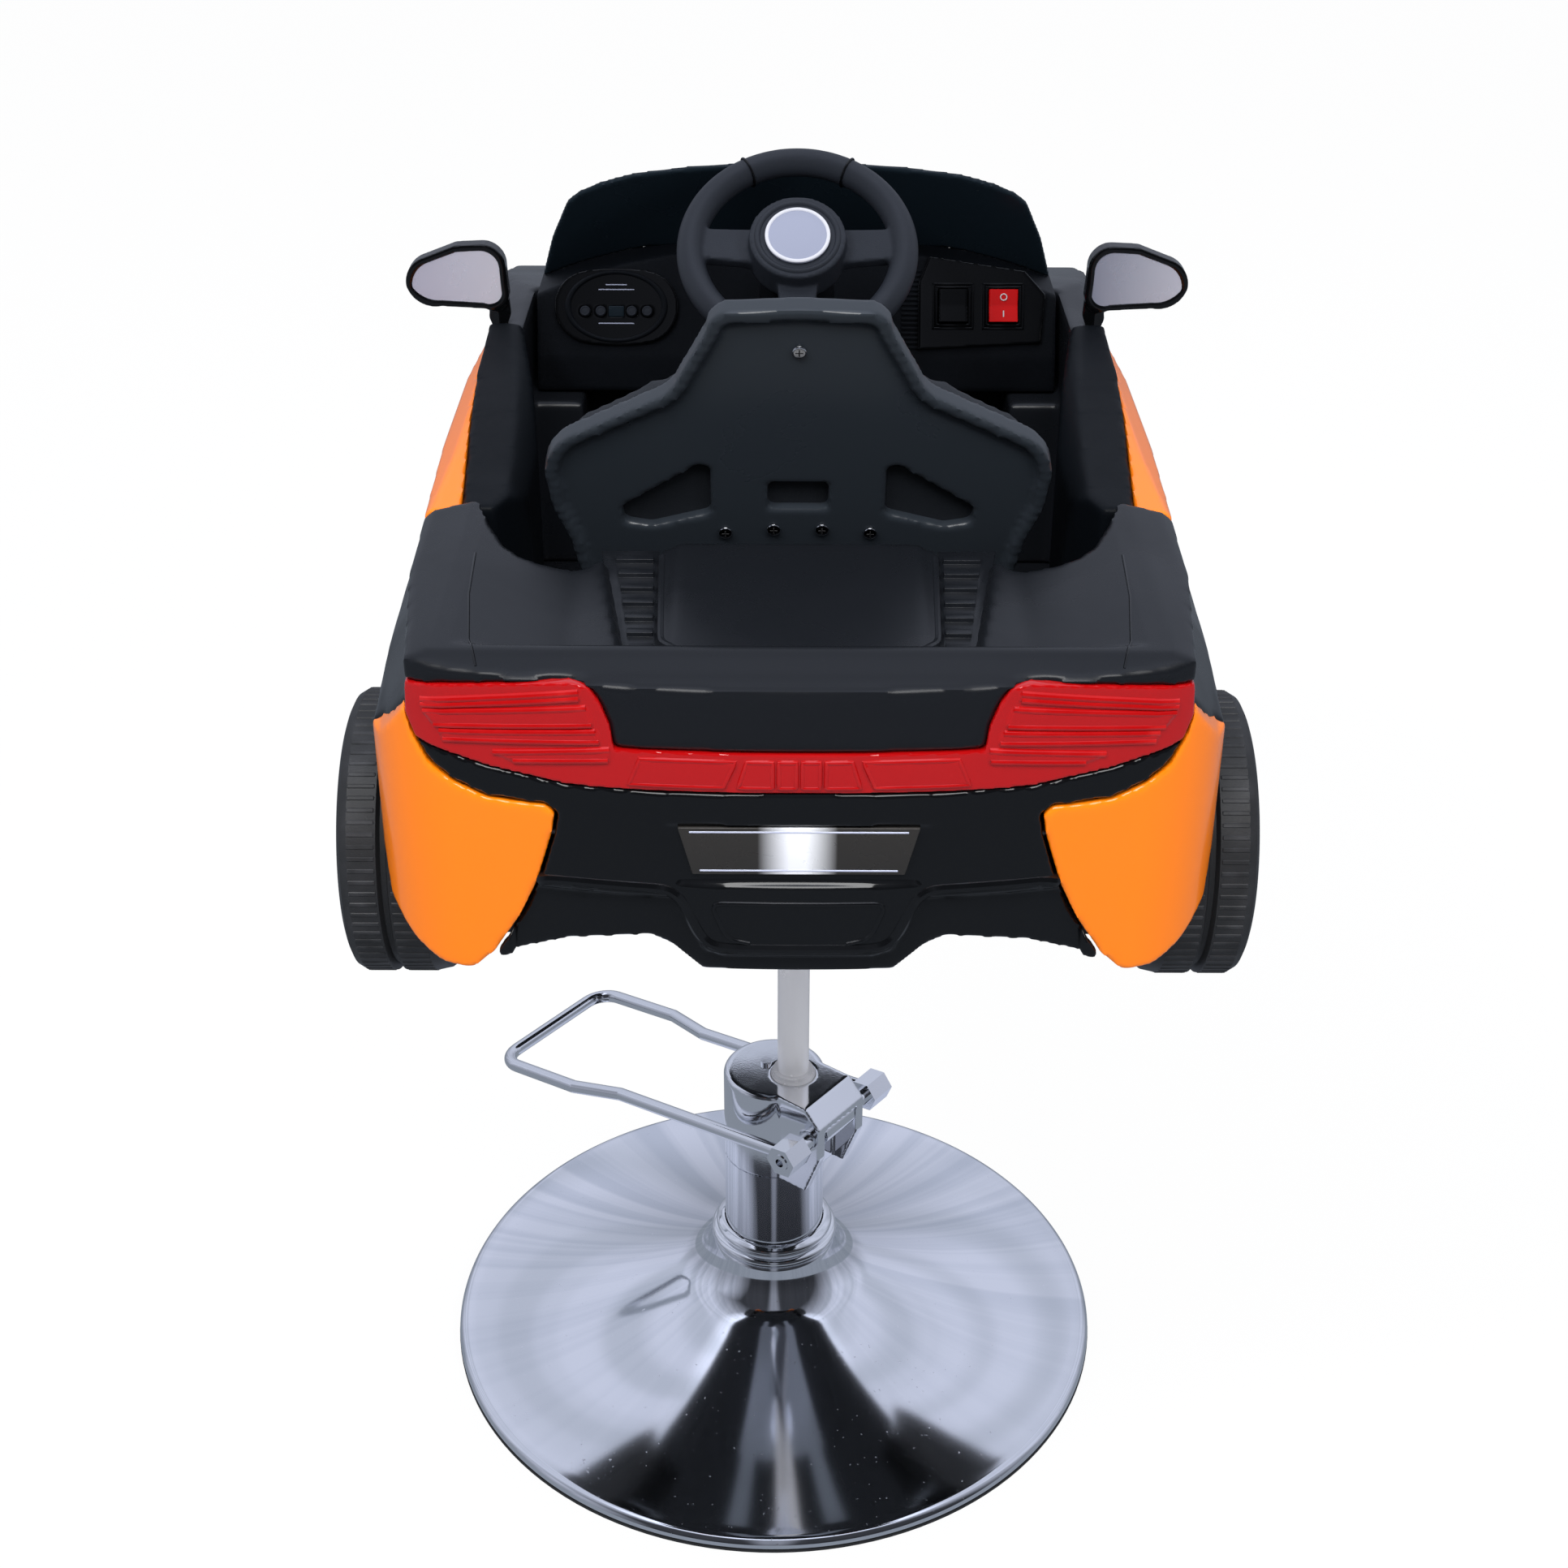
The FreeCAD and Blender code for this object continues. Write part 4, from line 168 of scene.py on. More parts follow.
def set_studio():
    """A plain soft level, pale curtains for gloss rays, and white behind the object."""
    world = bpy.data.worlds.new("studio")
    bpy.context.scene.world = world
    world.use_nodes = True
    tree = world.node_tree
    tree.nodes.clear()
    out = tree.nodes.new("ShaderNodeOutputWorld")
    path = tree.nodes.new("ShaderNodeLightPath")
    level = tree.nodes.new("ShaderNodeBackground")
    level.inputs["Color"].default_value = (0.95, 0.96, 1, 1)
    level.inputs["Strength"].default_value = 0.6
    curtains = tree.nodes.new("ShaderNodeBackground")
    tree.links.new(curtain_colour(tree), curtains.inputs["Color"])
    backdrop = tree.nodes.new("ShaderNodeBackground")
    backdrop.inputs["Color"].default_value = (1, 1, 1, 1)
    gloss = tree.nodes.new("ShaderNodeMixShader")
    seen = tree.nodes.new("ShaderNodeMixShader")
    tree.links.new(path.outputs["Is Glossy Ray"], gloss.inputs["Fac"])
    tree.links.new(level.outputs[0], gloss.inputs[1])
    tree.links.new(curtains.outputs[0], gloss.inputs[2])
    tree.links.new(path.outputs["Is Camera Ray"], seen.inputs["Fac"])
    tree.links.new(gloss.outputs[0], seen.inputs[1])
    tree.links.new(backdrop.outputs[0], seen.inputs[2])
    tree.links.new(seen.outputs[0], out.inputs["Surface"])
    add_lamp("key_lamp", place=(-1.4, -1.6, 3.0), target=(0, -0.1, 0.8), width=0.9, height=0.5,
             watts=34)
    add_lamp("fill_lamp", place=(1.9, -1.9, 2.4), target=(0, 0, 0.7), width=0.5, height=0.9, watts=20)
    add_lamp("front_lamp", place=(0.4, 2.2, 3.2), target=(0, 0, 0.9), width=1.4, height=0.4, watts=14)
    sheen_lamp = add_lamp("sheen_lamp", place=(0, -1.9, 3.1), target=(0, -0.2, 0.8), width=1.9,
                          height=1.3, watts=72, shines=True)
    sheen_lamp.light_linking.receiver_collection = rear_pieces
    bpy.context.scene.view_settings.view_transform = "Standard"


def set_floor():
    """A plain pale floor that keeps the stand's soft shadow and looks dim to bright metal."""
    half = 30
    bpy.ops.mesh.primitive_plane_add(size=half * 2, location=(0, 0, 0))
    floor = bpy.context.object
    floor.name = "floor"
    paint = bpy.data.materials.new("floor_paint")
    paint.use_nodes = True
    tree = paint.node_tree
    tree.nodes.clear()
    out = tree.nodes.new("ShaderNodeOutputMaterial")
    path = tree.nodes.new("ShaderNodeLightPath")
    lit = tree.nodes.new("ShaderNodeBsdfDiffuse")
    lit.inputs["Color"].default_value = (0.85, 0.85, 0.86, 1)
    white = tree.nodes.new("ShaderNodeEmission")
    white.inputs["Strength"].default_value = 1.04
    dim = tree.nodes.new("ShaderNodeEmission")
    dim.inputs["Color"].default_value = (0.24, 0.27, 0.32, 1)
    share = add_node(tree, "ShaderNodeMath", {"operation": "MULTIPLY"})
    share.inputs[1].default_value = 0.9
    seen = tree.nodes.new("ShaderNodeMixShader")
    gloss = tree.nodes.new("ShaderNodeMixShader")
    tree.links.new(path.outputs["Is Camera Ray"], share.inputs[0])
    tree.links.new(share.outputs[0], seen.inputs["Fac"])
    tree.links.new(lit.outputs[0], seen.inputs[1])
    tree.links.new(white.outputs[0], seen.inputs[2])
    tree.links.new(path.outputs["Is Glossy Ray"], gloss.inputs["Fac"])
    tree.links.new(seen.outputs[0], gloss.inputs[1])
    tree.links.new(dim.outputs[0], gloss.inputs[2])
    tree.links.new(gloss.outputs[0], out.inputs["Surface"])
    floor.data.materials.append(paint)


set_camera()
set_studio()
set_floor()


# Shader groups that more than one finish uses
def new_group(name, inputs, outputs):
    tree = bpy.data.node_groups.new(name, "ShaderNodeTree")
    for label, kind, value in inputs:
        socket = tree.interface.new_socket(label, in_out="INPUT", socket_type=kind)
        socket.default_value = value
    for label, kind in outputs:
        tree.interface.new_socket(label, in_out="OUTPUT", socket_type=kind)
    return tree, tree.nodes.new("NodeGroupInput"), tree.nodes.new("NodeGroupOutput")


def grain_group():
    """Fine moulded grain: a noise bump on the piece's own coordinates."""
    tree, inside, outside = new_group(
        "moulded_grain",
        [("Scale", "NodeSocketFloat", 900), ("Depth", "NodeSocketFloat", 0.2)],
        [("Normal", "NodeSocketVector")])
    place = add_node(tree, "ShaderNodeTexCoord")
    noise = add_node(tree, "ShaderNodeTexNoise", values={"Detail": 2.0, "Roughness": 0.6})
    bump = add_node(tree, "ShaderNodeBump", values={"Distance": 0.0006})
    tree.links.new(place.outputs["Object"], noise.inputs["Vector"])
    tree.links.new(inside.outputs["Scale"], noise.inputs["Scale"])
    tree.links.new(noise.outputs["Fac"], bump.inputs["Height"])
    tree.links.new(inside.outputs["Depth"], bump.inputs["Strength"])
    tree.links.new(bump.outputs["Normal"], outside.inputs["Normal"])
    return tree


def smudge_group():
    """Roughness that drifts between two values, as handled plastic or metal does."""
    tree, inside, outside = new_group(
        "smudges",
        [("Scale", "NodeSocketFloat", 14), ("Smooth", "NodeSocketFloat", 0.25),
         ("Dull", "NodeSocketFloat", 0.4)],
        [("Roughness", "NodeSocketFloat")])
    place = add_node(tree, "ShaderNodeTexCoord")
    noise = add_node(tree, "ShaderNodeTexNoise", values={"Detail": 5.0, "Roughness": 0.55,
                                                         "Distortion": 0.4})
    spread = add_node(tree, "ShaderNodeMapRange", values={"From Min": 0.3, "From Max": 0.72})
    tree.links.new(place.outputs["Object"], noise.inputs["Vector"])
    tree.links.new(inside.outputs["Scale"], noise.inputs["Scale"])
    tree.links.new(noise.outputs["Fac"], spread.inputs["Value"])
    tree.links.new(inside.outputs["Smooth"], spread.inputs["To Min"])
    tree.links.new(inside.outputs["Dull"], spread.inputs["To Max"])
    tree.links.new(spread.outputs["Result"], outside.inputs["Roughness"])
    return tree


def wear_group():
    """A colour that pales along handled edges and carries a few specks of dust."""
    tree, inside, outside = new_group(
        "edge_wear",
        [("Colour", "NodeSocketColor", (0, 0, 0, 1)), ("Worn", "NodeSocketColor", (0.1, 0.1, 0.1, 1)),
         ("Amount", "NodeSocketFloat", 0.4), ("Dust", "NodeSocketFloat", 0.05)],
        [("Colour", "NodeSocketColor")])
    shape = add_node(tree, "ShaderNodeNewGeometry")
    place = add_node(tree, "ShaderNodeTexCoord")
    edge = add_node(tree, "ShaderNodeMapRange", values={"From Min": 0.53, "From Max": 0.62})
    noise = add_node(tree, "ShaderNodeTexNoise", values={"Scale": 60.0, "Detail": 4.0})
    broken = add_node(tree, "ShaderNodeMapRange", values={"From Min": 0.42, "From Max": 0.68})
    both = add_node(tree, "ShaderNodeMath", {"operation": "MULTIPLY"})
    scaled = add_node(tree, "ShaderNodeMath", {"operation": "MULTIPLY"})
    specks = add_node(tree, "ShaderNodeTexNoise", values={"Scale": 420.0, "Detail": 1.0})
    settled = add_node(tree, "ShaderNodeMapRange", values={"From Min": 0.7, "From Max": 0.78})
    dust = add_node(tree, "ShaderNodeMath", {"operation": "MULTIPLY"})
    total = add_node(tree, "ShaderNodeMath", {"operation": "MAXIMUM"})
    mix = add_node(tree, "ShaderNodeMix", {"data_type": "RGBA"})
    tree.links.new(shape.outputs["Pointiness"], edge.inputs["Value"])
    tree.links.new(place.outputs["Object"], noise.inputs["Vector"])
    tree.links.new(place.outputs["Object"], specks.inputs["Vector"])
    tree.links.new(noise.outputs["Fac"], broken.inputs["Value"])
    tree.links.new(edge.outputs["Result"], both.inputs[0])
    tree.links.new(broken.outputs["Result"], both.inputs[1])
    tree.links.new(both.outputs[0], scaled.inputs[0])
    tree.links.new(inside.outputs["Amount"], scaled.inputs[1])
    tree.links.new(specks.outputs["Fac"], settled.inputs["Value"])
    tree.links.new(settled.outputs["Result"], dust.inputs[0])
    tree.links.new(inside.outputs["Dust"], dust.inputs[1])
    tree.links.new(scaled.outputs[0], total.inputs[0])
    tree.links.new(dust.outputs[0], total.inputs[1])
    tree.links.new(total.outputs[0], mix.inputs["Factor"])
    tree.links.new(inside.outputs["Colour"], mix.inputs["A"])
    tree.links.new(inside.outputs["Worn"], mix.inputs["B"])
    tree.links.new(mix.outputs["Result"], outside.inputs["Colour"])
    return tree


grain = grain_group()
smudges = smudge_group()
edge_wear = wear_group()


# Finishes
def srgb(red, green, blue):
    """A colour as seen on screen, 0 to 255, in the scene's linear values."""
    shares = [c / 255 for c in (red, green, blue)]
    return tuple(s / 12.92 if s < 0.04045 else ((s + 0.055) / 1.055) ** 2.4 for s in shares) + (1,)


def new_finish(name, **sockets):
    """A material with one shader whose plain sockets are set; underscores stand for spaces."""
    material = bpy.data.materials.new(name)
    material.use_nodes = True
    shader = material.node_tree.nodes["Principled BSDF"]
    for label, value in sockets.items():
        shader.inputs[label.replace("_", " ")].default_value = value
    return material, material.node_tree, shader


def place_group(tree, group, **values):
    node = tree.nodes.new("ShaderNodeGroup")
    node.node_tree = group
    for label, value in values.items():
        node.inputs[label].default_value = value
    return node


def plastic(name, colour, worn, smooth, dull, grain_scale=900, grain_depth=0.2, amount=0.35,
            smudge_scale=14, dust=0.05, **sockets):
    """Moulded plastic: edge wear in its colour, drifting gloss and a fine grain."""
    material, tree, shader = new_finish(name, **sockets)
    wear = place_group(tree, edge_wear, Colour=colour, Worn=worn, Amount=amount, Dust=dust)
    gloss = place_group(tree, smudges, Scale=smudge_scale, Smooth=smooth, Dull=dull)
    skin = place_group(tree, grain, Scale=grain_scale, Depth=grain_depth)
    tree.links.new(wear.outputs["Colour"], shader.inputs["Base Color"])
    tree.links.new(gloss.outputs["Roughness"], shader.inputs["Roughness"])
    tree.links.new(skin.outputs["Normal"], shader.inputs["Normal"])
    return material


def metal(name, colour, smooth, dull, scale=20, grain_scale=700, depth=0.03, metallic=1):
    """Plated or turned metal, polished unevenly."""
    material, tree, shader = new_finish(name, Base_Color=colour, Metallic=metallic)
    gloss = place_group(tree, smudges, Scale=scale, Smooth=smooth, Dull=dull)
    skin = place_group(tree, grain, Scale=grain_scale, Depth=depth)
    tree.links.new(gloss.outputs["Roughness"], shader.inputs["Roughness"])
    tree.links.new(skin.outputs["Normal"], shader.inputs["Normal"])
    return material


def sloped_colour(name, axis, start, finish, colours, **sockets):
    """A finish whose colour runs through a few stops along one axis, between two places in metres."""
    material, tree, shader = new_finish(name, **sockets)
    place = add_node(tree, "ShaderNodeTexCoord")
    parts = add_node(tree, "ShaderNodeSeparateXYZ")
    along = add_node(tree, "ShaderNodeMapRange", values={"From Min": start, "From Max": finish})
    ramp = add_node(tree, "ShaderNodeValToRGB")
    for number, (spot, colour) in enumerate(colours):
        stop = ramp.color_ramp.elements[number] if number < 2 else ramp.color_ramp.elements.new(spot)
        stop.position = spot
        stop.color = colour
    gloss = place_group(tree, smudges, Scale=30, Smooth=0.22, Dull=0.36)
    skin = place_group(tree, grain, Scale=900, Depth=0.04)
    tree.links.new(place.outputs["Object"], parts.inputs[0])
    tree.links.new(parts.outputs[axis], along.inputs["Value"])
    tree.links.new(along.outputs["Result"], ramp.inputs["Fac"])
    tree.links.new(ramp.outputs["Color"], shader.inputs["Base Color"])
    tree.links.new(gloss.outputs["Roughness"], shader.inputs["Roughness"])
    tree.links.new(skin.outputs["Normal"], shader.inputs["Normal"])
    return material


black_shell = plastic("black_shell", srgb(19, 21, 25), worn=srgb(48, 50, 55), smooth=0.24, dull=0.34,
                      grain_scale=1500, grain_depth=0.06, amount=0.15, Specular_IOR_Level=0.24)
gloss_black = plastic("gloss_black", srgb(9, 10, 12), worn=srgb(40, 42, 46), smooth=0.1, dull=0.18,
                      grain_scale=500, grain_depth=0.02, amount=0.12, Specular_IOR_Level=0.32,
                      Coat_Weight=0.1, Coat_Roughness=0.05)
screen_black = plastic("screen_black", srgb(26, 36, 44), worn=srgb(26, 27, 30), smooth=0.22, dull=0.3,
                       grain_scale=500, grain_depth=0.02, amount=0.1, Specular_IOR_Level=0.2)
seat_plastic = plastic("seat_plastic", srgb(37, 42, 48), worn=srgb(62, 66, 73), smooth=0.26, dull=0.36,
                       grain_scale=1500, grain_depth=0.05, amount=0.2, Specular_IOR_Level=0.5)
lining_black = plastic("lining_black", srgb(8, 11, 15), worn=srgb(30, 32, 37), smooth=0.42, dull=0.52,
                       grain_scale=1300, grain_depth=0.2, amount=0.15, Specular_IOR_Level=0.08)
seat_vinyl = plastic("seat_vinyl", srgb(26, 29, 34), worn=srgb(56, 58, 64), smooth=0.5, dull=0.62,
                     grain_scale=650, grain_depth=0.5, amount=0.2, Specular_IOR_Level=0.3)
tyre_plastic = plastic("tyre_plastic", srgb(34, 35, 37), worn=srgb(78, 79, 84), smooth=0.42, dull=0.6,
                       grain_scale=700, grain_depth=0.25, amount=0.3, dust=0.1, Specular_IOR_Level=0.35)
dash_plastic = plastic("dash_plastic", srgb(15, 18, 23), worn=srgb(48, 50, 56), smooth=0.5, dull=0.62,
                       grain_scale=1300, grain_depth=0.4, amount=0.15, Specular_IOR_Level=0.22)
grip_plastic = plastic("grip_plastic", srgb(42, 46, 54), worn=srgb(84, 86, 94), smooth=0.42, dull=0.56,
                       grain_scale=1700, grain_depth=0.3, amount=0.15, Specular_IOR_Level=0.35)
orange_gloss = plastic("orange_gloss", srgb(240, 122, 8), worn=srgb(252, 160, 60), smooth=0.16,
                       dull=0.26, grain_scale=300, grain_depth=0.02, amount=0.1, smudge_scale=8,
                       dust=0.02, Specular_IOR_Level=0.4, Coat_Weight=0.3, Coat_Roughness=0.12)
red_lens = plastic("red_lens", srgb(160, 8, 10), worn=srgb(206, 50, 50), smooth=0.05, dull=0.12,
                   grain_scale=260, grain_depth=0.03, amount=0.3, smudge_scale=10,
                   Specular_IOR_Level=0.5, Coat_Weight=0.3, Coat_Roughness=0.04)
red_rocker = plastic("red_rocker", srgb(206, 14, 16), worn=srgb(230, 80, 70), smooth=0.12, dull=0.22,
                     grain_scale=260, grain_depth=0.02, amount=0.3, smudge_scale=10,
                     Specular_IOR_Level=0.5)
mark_white = plastic("mark_white", srgb(222, 224, 228), worn=srgb(240, 240, 240), smooth=0.4, dull=0.5,
                     grain_depth=0.05)
ring_white = plastic("ring_white", srgb(240, 242, 252), worn=srgb(250, 250, 250), smooth=0.25,
                     dull=0.35, grain_depth=0.03)
badge_grey = plastic("badge_grey", srgb(168, 174, 198), worn=srgb(190, 194, 206), smooth=0.2, dull=0.3,
                     grain_scale=500, grain_depth=0.05)
lamp_clear = plastic("lamp_clear", srgb(196, 202, 210), worn=srgb(230, 232, 236), smooth=0.06,
                     dull=0.12, grain_scale=240, grain_depth=0.04, Specular_IOR_Level=0.6)
rubber_black = plastic("rubber_black", srgb(22, 22, 24), worn=srgb(54, 54, 56), smooth=0.6, dull=0.75,
                       grain_scale=500, grain_depth=0.3)
chrome = metal("chrome", (0.9, 0.91, 0.94, 1), smooth=0.05, dull=0.11)
ram_steel = metal("ram_steel", srgb(238, 238, 242), smooth=0.2, dull=0.3, metallic=0.2)
zinc_steel = metal("zinc_steel", (0.45, 0.46, 0.48, 1), smooth=0.3, dull=0.5)
# Mirror glass: a painted reflection, its colour running through a pale band near one end and a dark
# band near the other, across the car.
mirror_silver = sloped_colour("mirror_silver", "X", -0.32, 0.32, [
    (0, srgb(188, 188, 208)), (1, srgb(210, 212, 226)), (0.14, srgb(226, 226, 238)),
    (0.86, srgb(140, 146, 166)), (0.95, srgb(190, 192, 206))], Metallic=0.25)
plate_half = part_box("number_plate")[1][0]
plate_dark = srgb(46, 44, 42)
plate_silver = sloped_colour("plate_silver", "X", -plate_half, plate_half, [
    (0, plate_dark), (1, plate_dark), (0.33, plate_dark), (0.46, srgb(246, 248, 255)),
    (0.53, srgb(248, 250, 255)), (0.66, plate_dark)], Metallic=0.2)


def trumpet_painted_reflections():
    """Chrome of the foot's cover, with dust and with painted reflections: faint darker streaks that run
    out from the neck, stronger towards the car's front.
    """
    material, tree, shader = new_finish("trumpet_chrome", Metallic=1)
    low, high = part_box("base_cover")
    place = add_node(tree, "ShaderNodeTexCoord")
    centre = add_node(tree, "ShaderNodeMapping")
    centre.inputs["Location"].default_value = (-(low[0] + high[0]) / 2, -(low[1] + high[1]) / 2, 0)
    parts = add_node(tree, "ShaderNodeSeparateXYZ")
    azimuth = add_node(tree, "ShaderNodeMath", {"operation": "ARCTAN2"})
    folds = add_node(tree, "ShaderNodeTexNoise", {"noise_dimensions": "1D"},
                     {"Scale": 7, "Detail": 3, "Roughness": 0.55})
    streak = add_node(tree, "ShaderNodeMapRange", values={"From Min": 0.36, "From Max": 0.58})
    front = add_node(tree, "ShaderNodeMapRange", values={"From Min": -0.12, "From Max": 0.1,
                                                         "To Min": 0.08, "To Max": 0.4})
    share = add_node(tree, "ShaderNodeMath", {"operation": "SUBTRACT"})
    share.inputs[0].default_value = 1
    strength = add_node(tree, "ShaderNodeMath", {"operation": "MULTIPLY"})
    # Painted reflection: the colour darkens to a bluish grey in streaks round the neck, more towards
    # the car's front.
    colour = add_node(tree, "ShaderNodeMix", {"data_type": "RGBA"})
    colour.inputs["A"].default_value = (0.93, 0.94, 0.98, 1)
    colour.inputs["B"].default_value = (0.5, 0.55, 0.62, 1)
    specks = add_node(tree, "ShaderNodeTexNoise", values={"Scale": 260, "Detail": 2})
    pitted = add_node(tree, "ShaderNodeMapRange", values={"From Min": 0.7, "From Max": 0.78,
                                                          "To Min": 0.08, "To Max": 0.4})
    tree.links.new(place.outputs["Object"], centre.inputs["Vector"])
    tree.links.new(centre.outputs["Vector"], parts.inputs[0])
    tree.links.new(parts.outputs["Y"], azimuth.inputs[0])
    tree.links.new(parts.outputs["X"], azimuth.inputs[1])
    tree.links.new(azimuth.outputs[0], folds.inputs["W"])
    tree.links.new(folds.outputs["Fac"], streak.inputs["Value"])
    tree.links.new(streak.outputs["Result"], share.inputs[1])
    tree.links.new(parts.outputs["Y"], front.inputs["Value"])
    tree.links.new(share.outputs[0], strength.inputs[0])
    tree.links.new(front.outputs["Result"], strength.inputs[1])
    tree.links.new(strength.outputs[0], colour.inputs["Factor"])
    tree.links.new(colour.outputs["Result"], shader.inputs["Base Color"])
    tree.links.new(place.outputs["Object"], specks.inputs["Vector"])
    tree.links.new(specks.outputs["Fac"], pitted.inputs["Value"])
    tree.links.new(pitted.outputs["Result"], shader.inputs["Roughness"])
    return material


trumpet_chrome = trumpet_painted_reflections()


# Making pieces
def edit(piece):
    """Opens one piece for editing with all of it selected."""
    alone(piece)
    bpy.ops.object.mode_set(mode="EDIT")
    bpy.ops.mesh.select_all(action="SELECT")


def done():
    bpy.ops.object.mode_set(mode="OBJECT")


def alone(piece):
    bpy.ops.object.select_all(action="DESELECT")
    piece.select_set(True)
    bpy.context.view_layer.objects.active = piece


def apply_modifier(piece, kind, **settings):
    alone(piece)
    modifier = piece.modifiers.new(kind.lower(), kind)
    for label, value in settings.items():
        setattr(modifier, label, value)
    bpy.ops.object.modifier_apply(modifier=modifier.name)


def lean_frame(forward, up, degrees, across=0):
    """A frame on a leaning face of the car, in millimetres: X across, Z up along the face."""
    place = Vector((across, forward, car_level + up)) * mm
    return Matrix.Translation(place) @ Matrix.Rotation(math.radians(degrees), 4, "X")


def finished(piece, finish, body, lean=None, smooth=35):
    """Puts a piece's place into its mesh and gives it its finish and its body."""
    if lean is not None:
        piece.matrix_world = lean @ piece.matrix_world
    alone(piece)
    bpy.ops.object.transform_apply(location=True, rotation=True, scale=True)
    bpy.ops.object.shade_smooth_by_angle(angle=math.radians(smooth))
    piece.data.materials.clear()
    piece.data.materials.append(finish)
    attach(piece, body)
    return piece


def joined(name, parts):
    """Several drawn parts as one piece."""
    alone(parts[0])
    for part in parts[1:]:
        part.select_set(True)
    if len(parts) > 1:
        bpy.ops.object.join()
    parts[0].name = name
    return parts[0]


def block(name, low, high, round_by=0.6, segments=3):
    """A small moulded block between two corners, in millimetres, its edges rounded."""
    middle = [(a + b) / 2 * mm for a, b in zip(low, high)]
    reach = [(b - a) * mm for a, b in zip(low, high)]
    bpy.ops.object.select_all(action="DESELECT")
    bpy.ops.mesh.primitive_cube_add(size=1, location=middle, scale=reach)
    piece = bpy.context.object
    piece.name = name
    bpy.ops.object.transform_apply(location=True, rotation=True, scale=True)
    edit(piece)
    bpy.ops.mesh.bevel(offset=round_by * mm, segments=segments, affect="EDGES")
    done()
    return piece


def bead_along(name, points, radius):
    """A round bead along points in millimetres, as one mesh."""
    line = bpy.data.curves.new(name, "CURVE")
    line.dimensions = "3D"
    line.bevel_depth = radius * mm
    line.bevel_resolution = 3
    line.use_fill_caps = True
    run = line.splines.new("POLY")
    run.points.add(len(points) - 1)
    for knot, spot in zip(run.points, points):
        knot.co = (*(c * mm for c in spot), 1)
    piece = bpy.data.objects.new(name, line)
    bpy.context.scene.collection.objects.link(piece)
    alone(piece)
    bpy.ops.object.convert(target="MESH")
    return bpy.context.object


def disc(name, radius, back, front, round_by=0.8, across=0, up=0, steps=48):
    """A round button or disc that faces out of a leaning face, its rims rounded."""
    bpy.ops.object.select_all(action="DESELECT")
    bpy.ops.mesh.primitive_cylinder_add(
        vertices=steps, radius=radius * mm, depth=abs(back - front) * mm,
        location=(across * mm, (back + front) / 2 * mm, up * mm), rotation=(math.pi / 2, 0, 0))
    piece = bpy.context.object
    piece.name = name
    bpy.ops.object.transform_apply(location=True, rotation=True, scale=True)
    apply_modifier(piece, "BEVEL", width=round_by * mm, segments=3, limit_method="ANGLE",
                   angle_limit=math.radians(60))
    return piece


def ring(name, radius, section, across=0, depth=0, up=0, tall=1, flat=1, steps=72):
    """A bead that runs in a ring on a leaning face; tall squashes the ring, flat its section."""
    bpy.ops.object.select_all(action="DESELECT")
    bpy.ops.mesh.primitive_torus_add(major_radius=radius * mm, minor_radius=section * mm,
                                     major_segments=steps, minor_segments=12,
                                     rotation=(math.pi / 2, 0, 0))
    piece = bpy.context.object
    piece.name = name
    bpy.ops.object.transform_apply(location=True, rotation=True, scale=True)
    edit(piece)
    bpy.ops.transform.resize(value=(1, flat, tall), center_override=(0, 0, 0))
    bpy.ops.transform.translate(value=(across * mm, depth * mm, up * mm))
    done()
    return piece


def turned(name, profile, centre=(0, 0), steps=96, rounds=0):
    """A piece drawn out from a ring, through pairs of radius and height in millimetres."""
    radius, height = profile[0]
    bpy.ops.object.select_all(action="DESELECT")
    bpy.ops.mesh.primitive_circle_add(vertices=steps, radius=radius * mm,
                                      location=(centre[0] * mm, centre[1] * mm, height * mm))
    piece = bpy.context.object
    piece.name = name
    bpy.ops.object.transform_apply(location=True, rotation=True, scale=True)
    edit(piece)
    for wide, tall in profile[1:]:
        lift = (0, 0, (tall - height) * mm)
        bpy.ops.mesh.extrude_region_move(TRANSFORM_OT_translate={"value": lift})
        bpy.ops.transform.resize(value=(wide / radius, wide / radius, 1),
                                 center_override=(centre[0] * mm, centre[1] * mm, tall * mm))
        radius, height = wide, tall
    bpy.ops.mesh.select_all(action="SELECT")
    bpy.ops.mesh.remove_doubles(threshold=0.00001)
    bpy.ops.mesh.normals_make_consistent(inside=False)
    done()
    if rounds:
        apply_modifier(piece, "SUBSURF", levels=rounds, render_levels=rounds)
    return piece


def merged_copy(name, node):
    """A new piece from a CAD node's mesh, its doubled corners merged."""
    piece = bpy.data.objects.new(name, nodes[node].data.copy())
    bpy.context.scene.collection.objects.link(piece)
    piece.data.materials.clear()
    edit(piece)
    bpy.ops.mesh.remove_doubles(threshold=0.00002)
    done()
    return piece


def moulded(node, finish, voxel, rounds=5, share=0.5, smooth=40):
    """A node again as a moulding: its edges melt into radii of about a voxel, in millimetres.

    Rounds of smoothing follow, and then only a share of the faces is kept.
    """
    piece = merged_copy(node + "_moulding", node)
    apply_modifier(piece, "REMESH", mode="VOXEL", voxel_size=voxel * mm)
    apply_modifier(piece, "SMOOTH", factor=0.5, iterations=rounds)
    apply_modifier(piece, "DECIMATE", ratio=share)
    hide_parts(node)
    return finished(piece, finish, body_of_node[node], smooth=smooth)


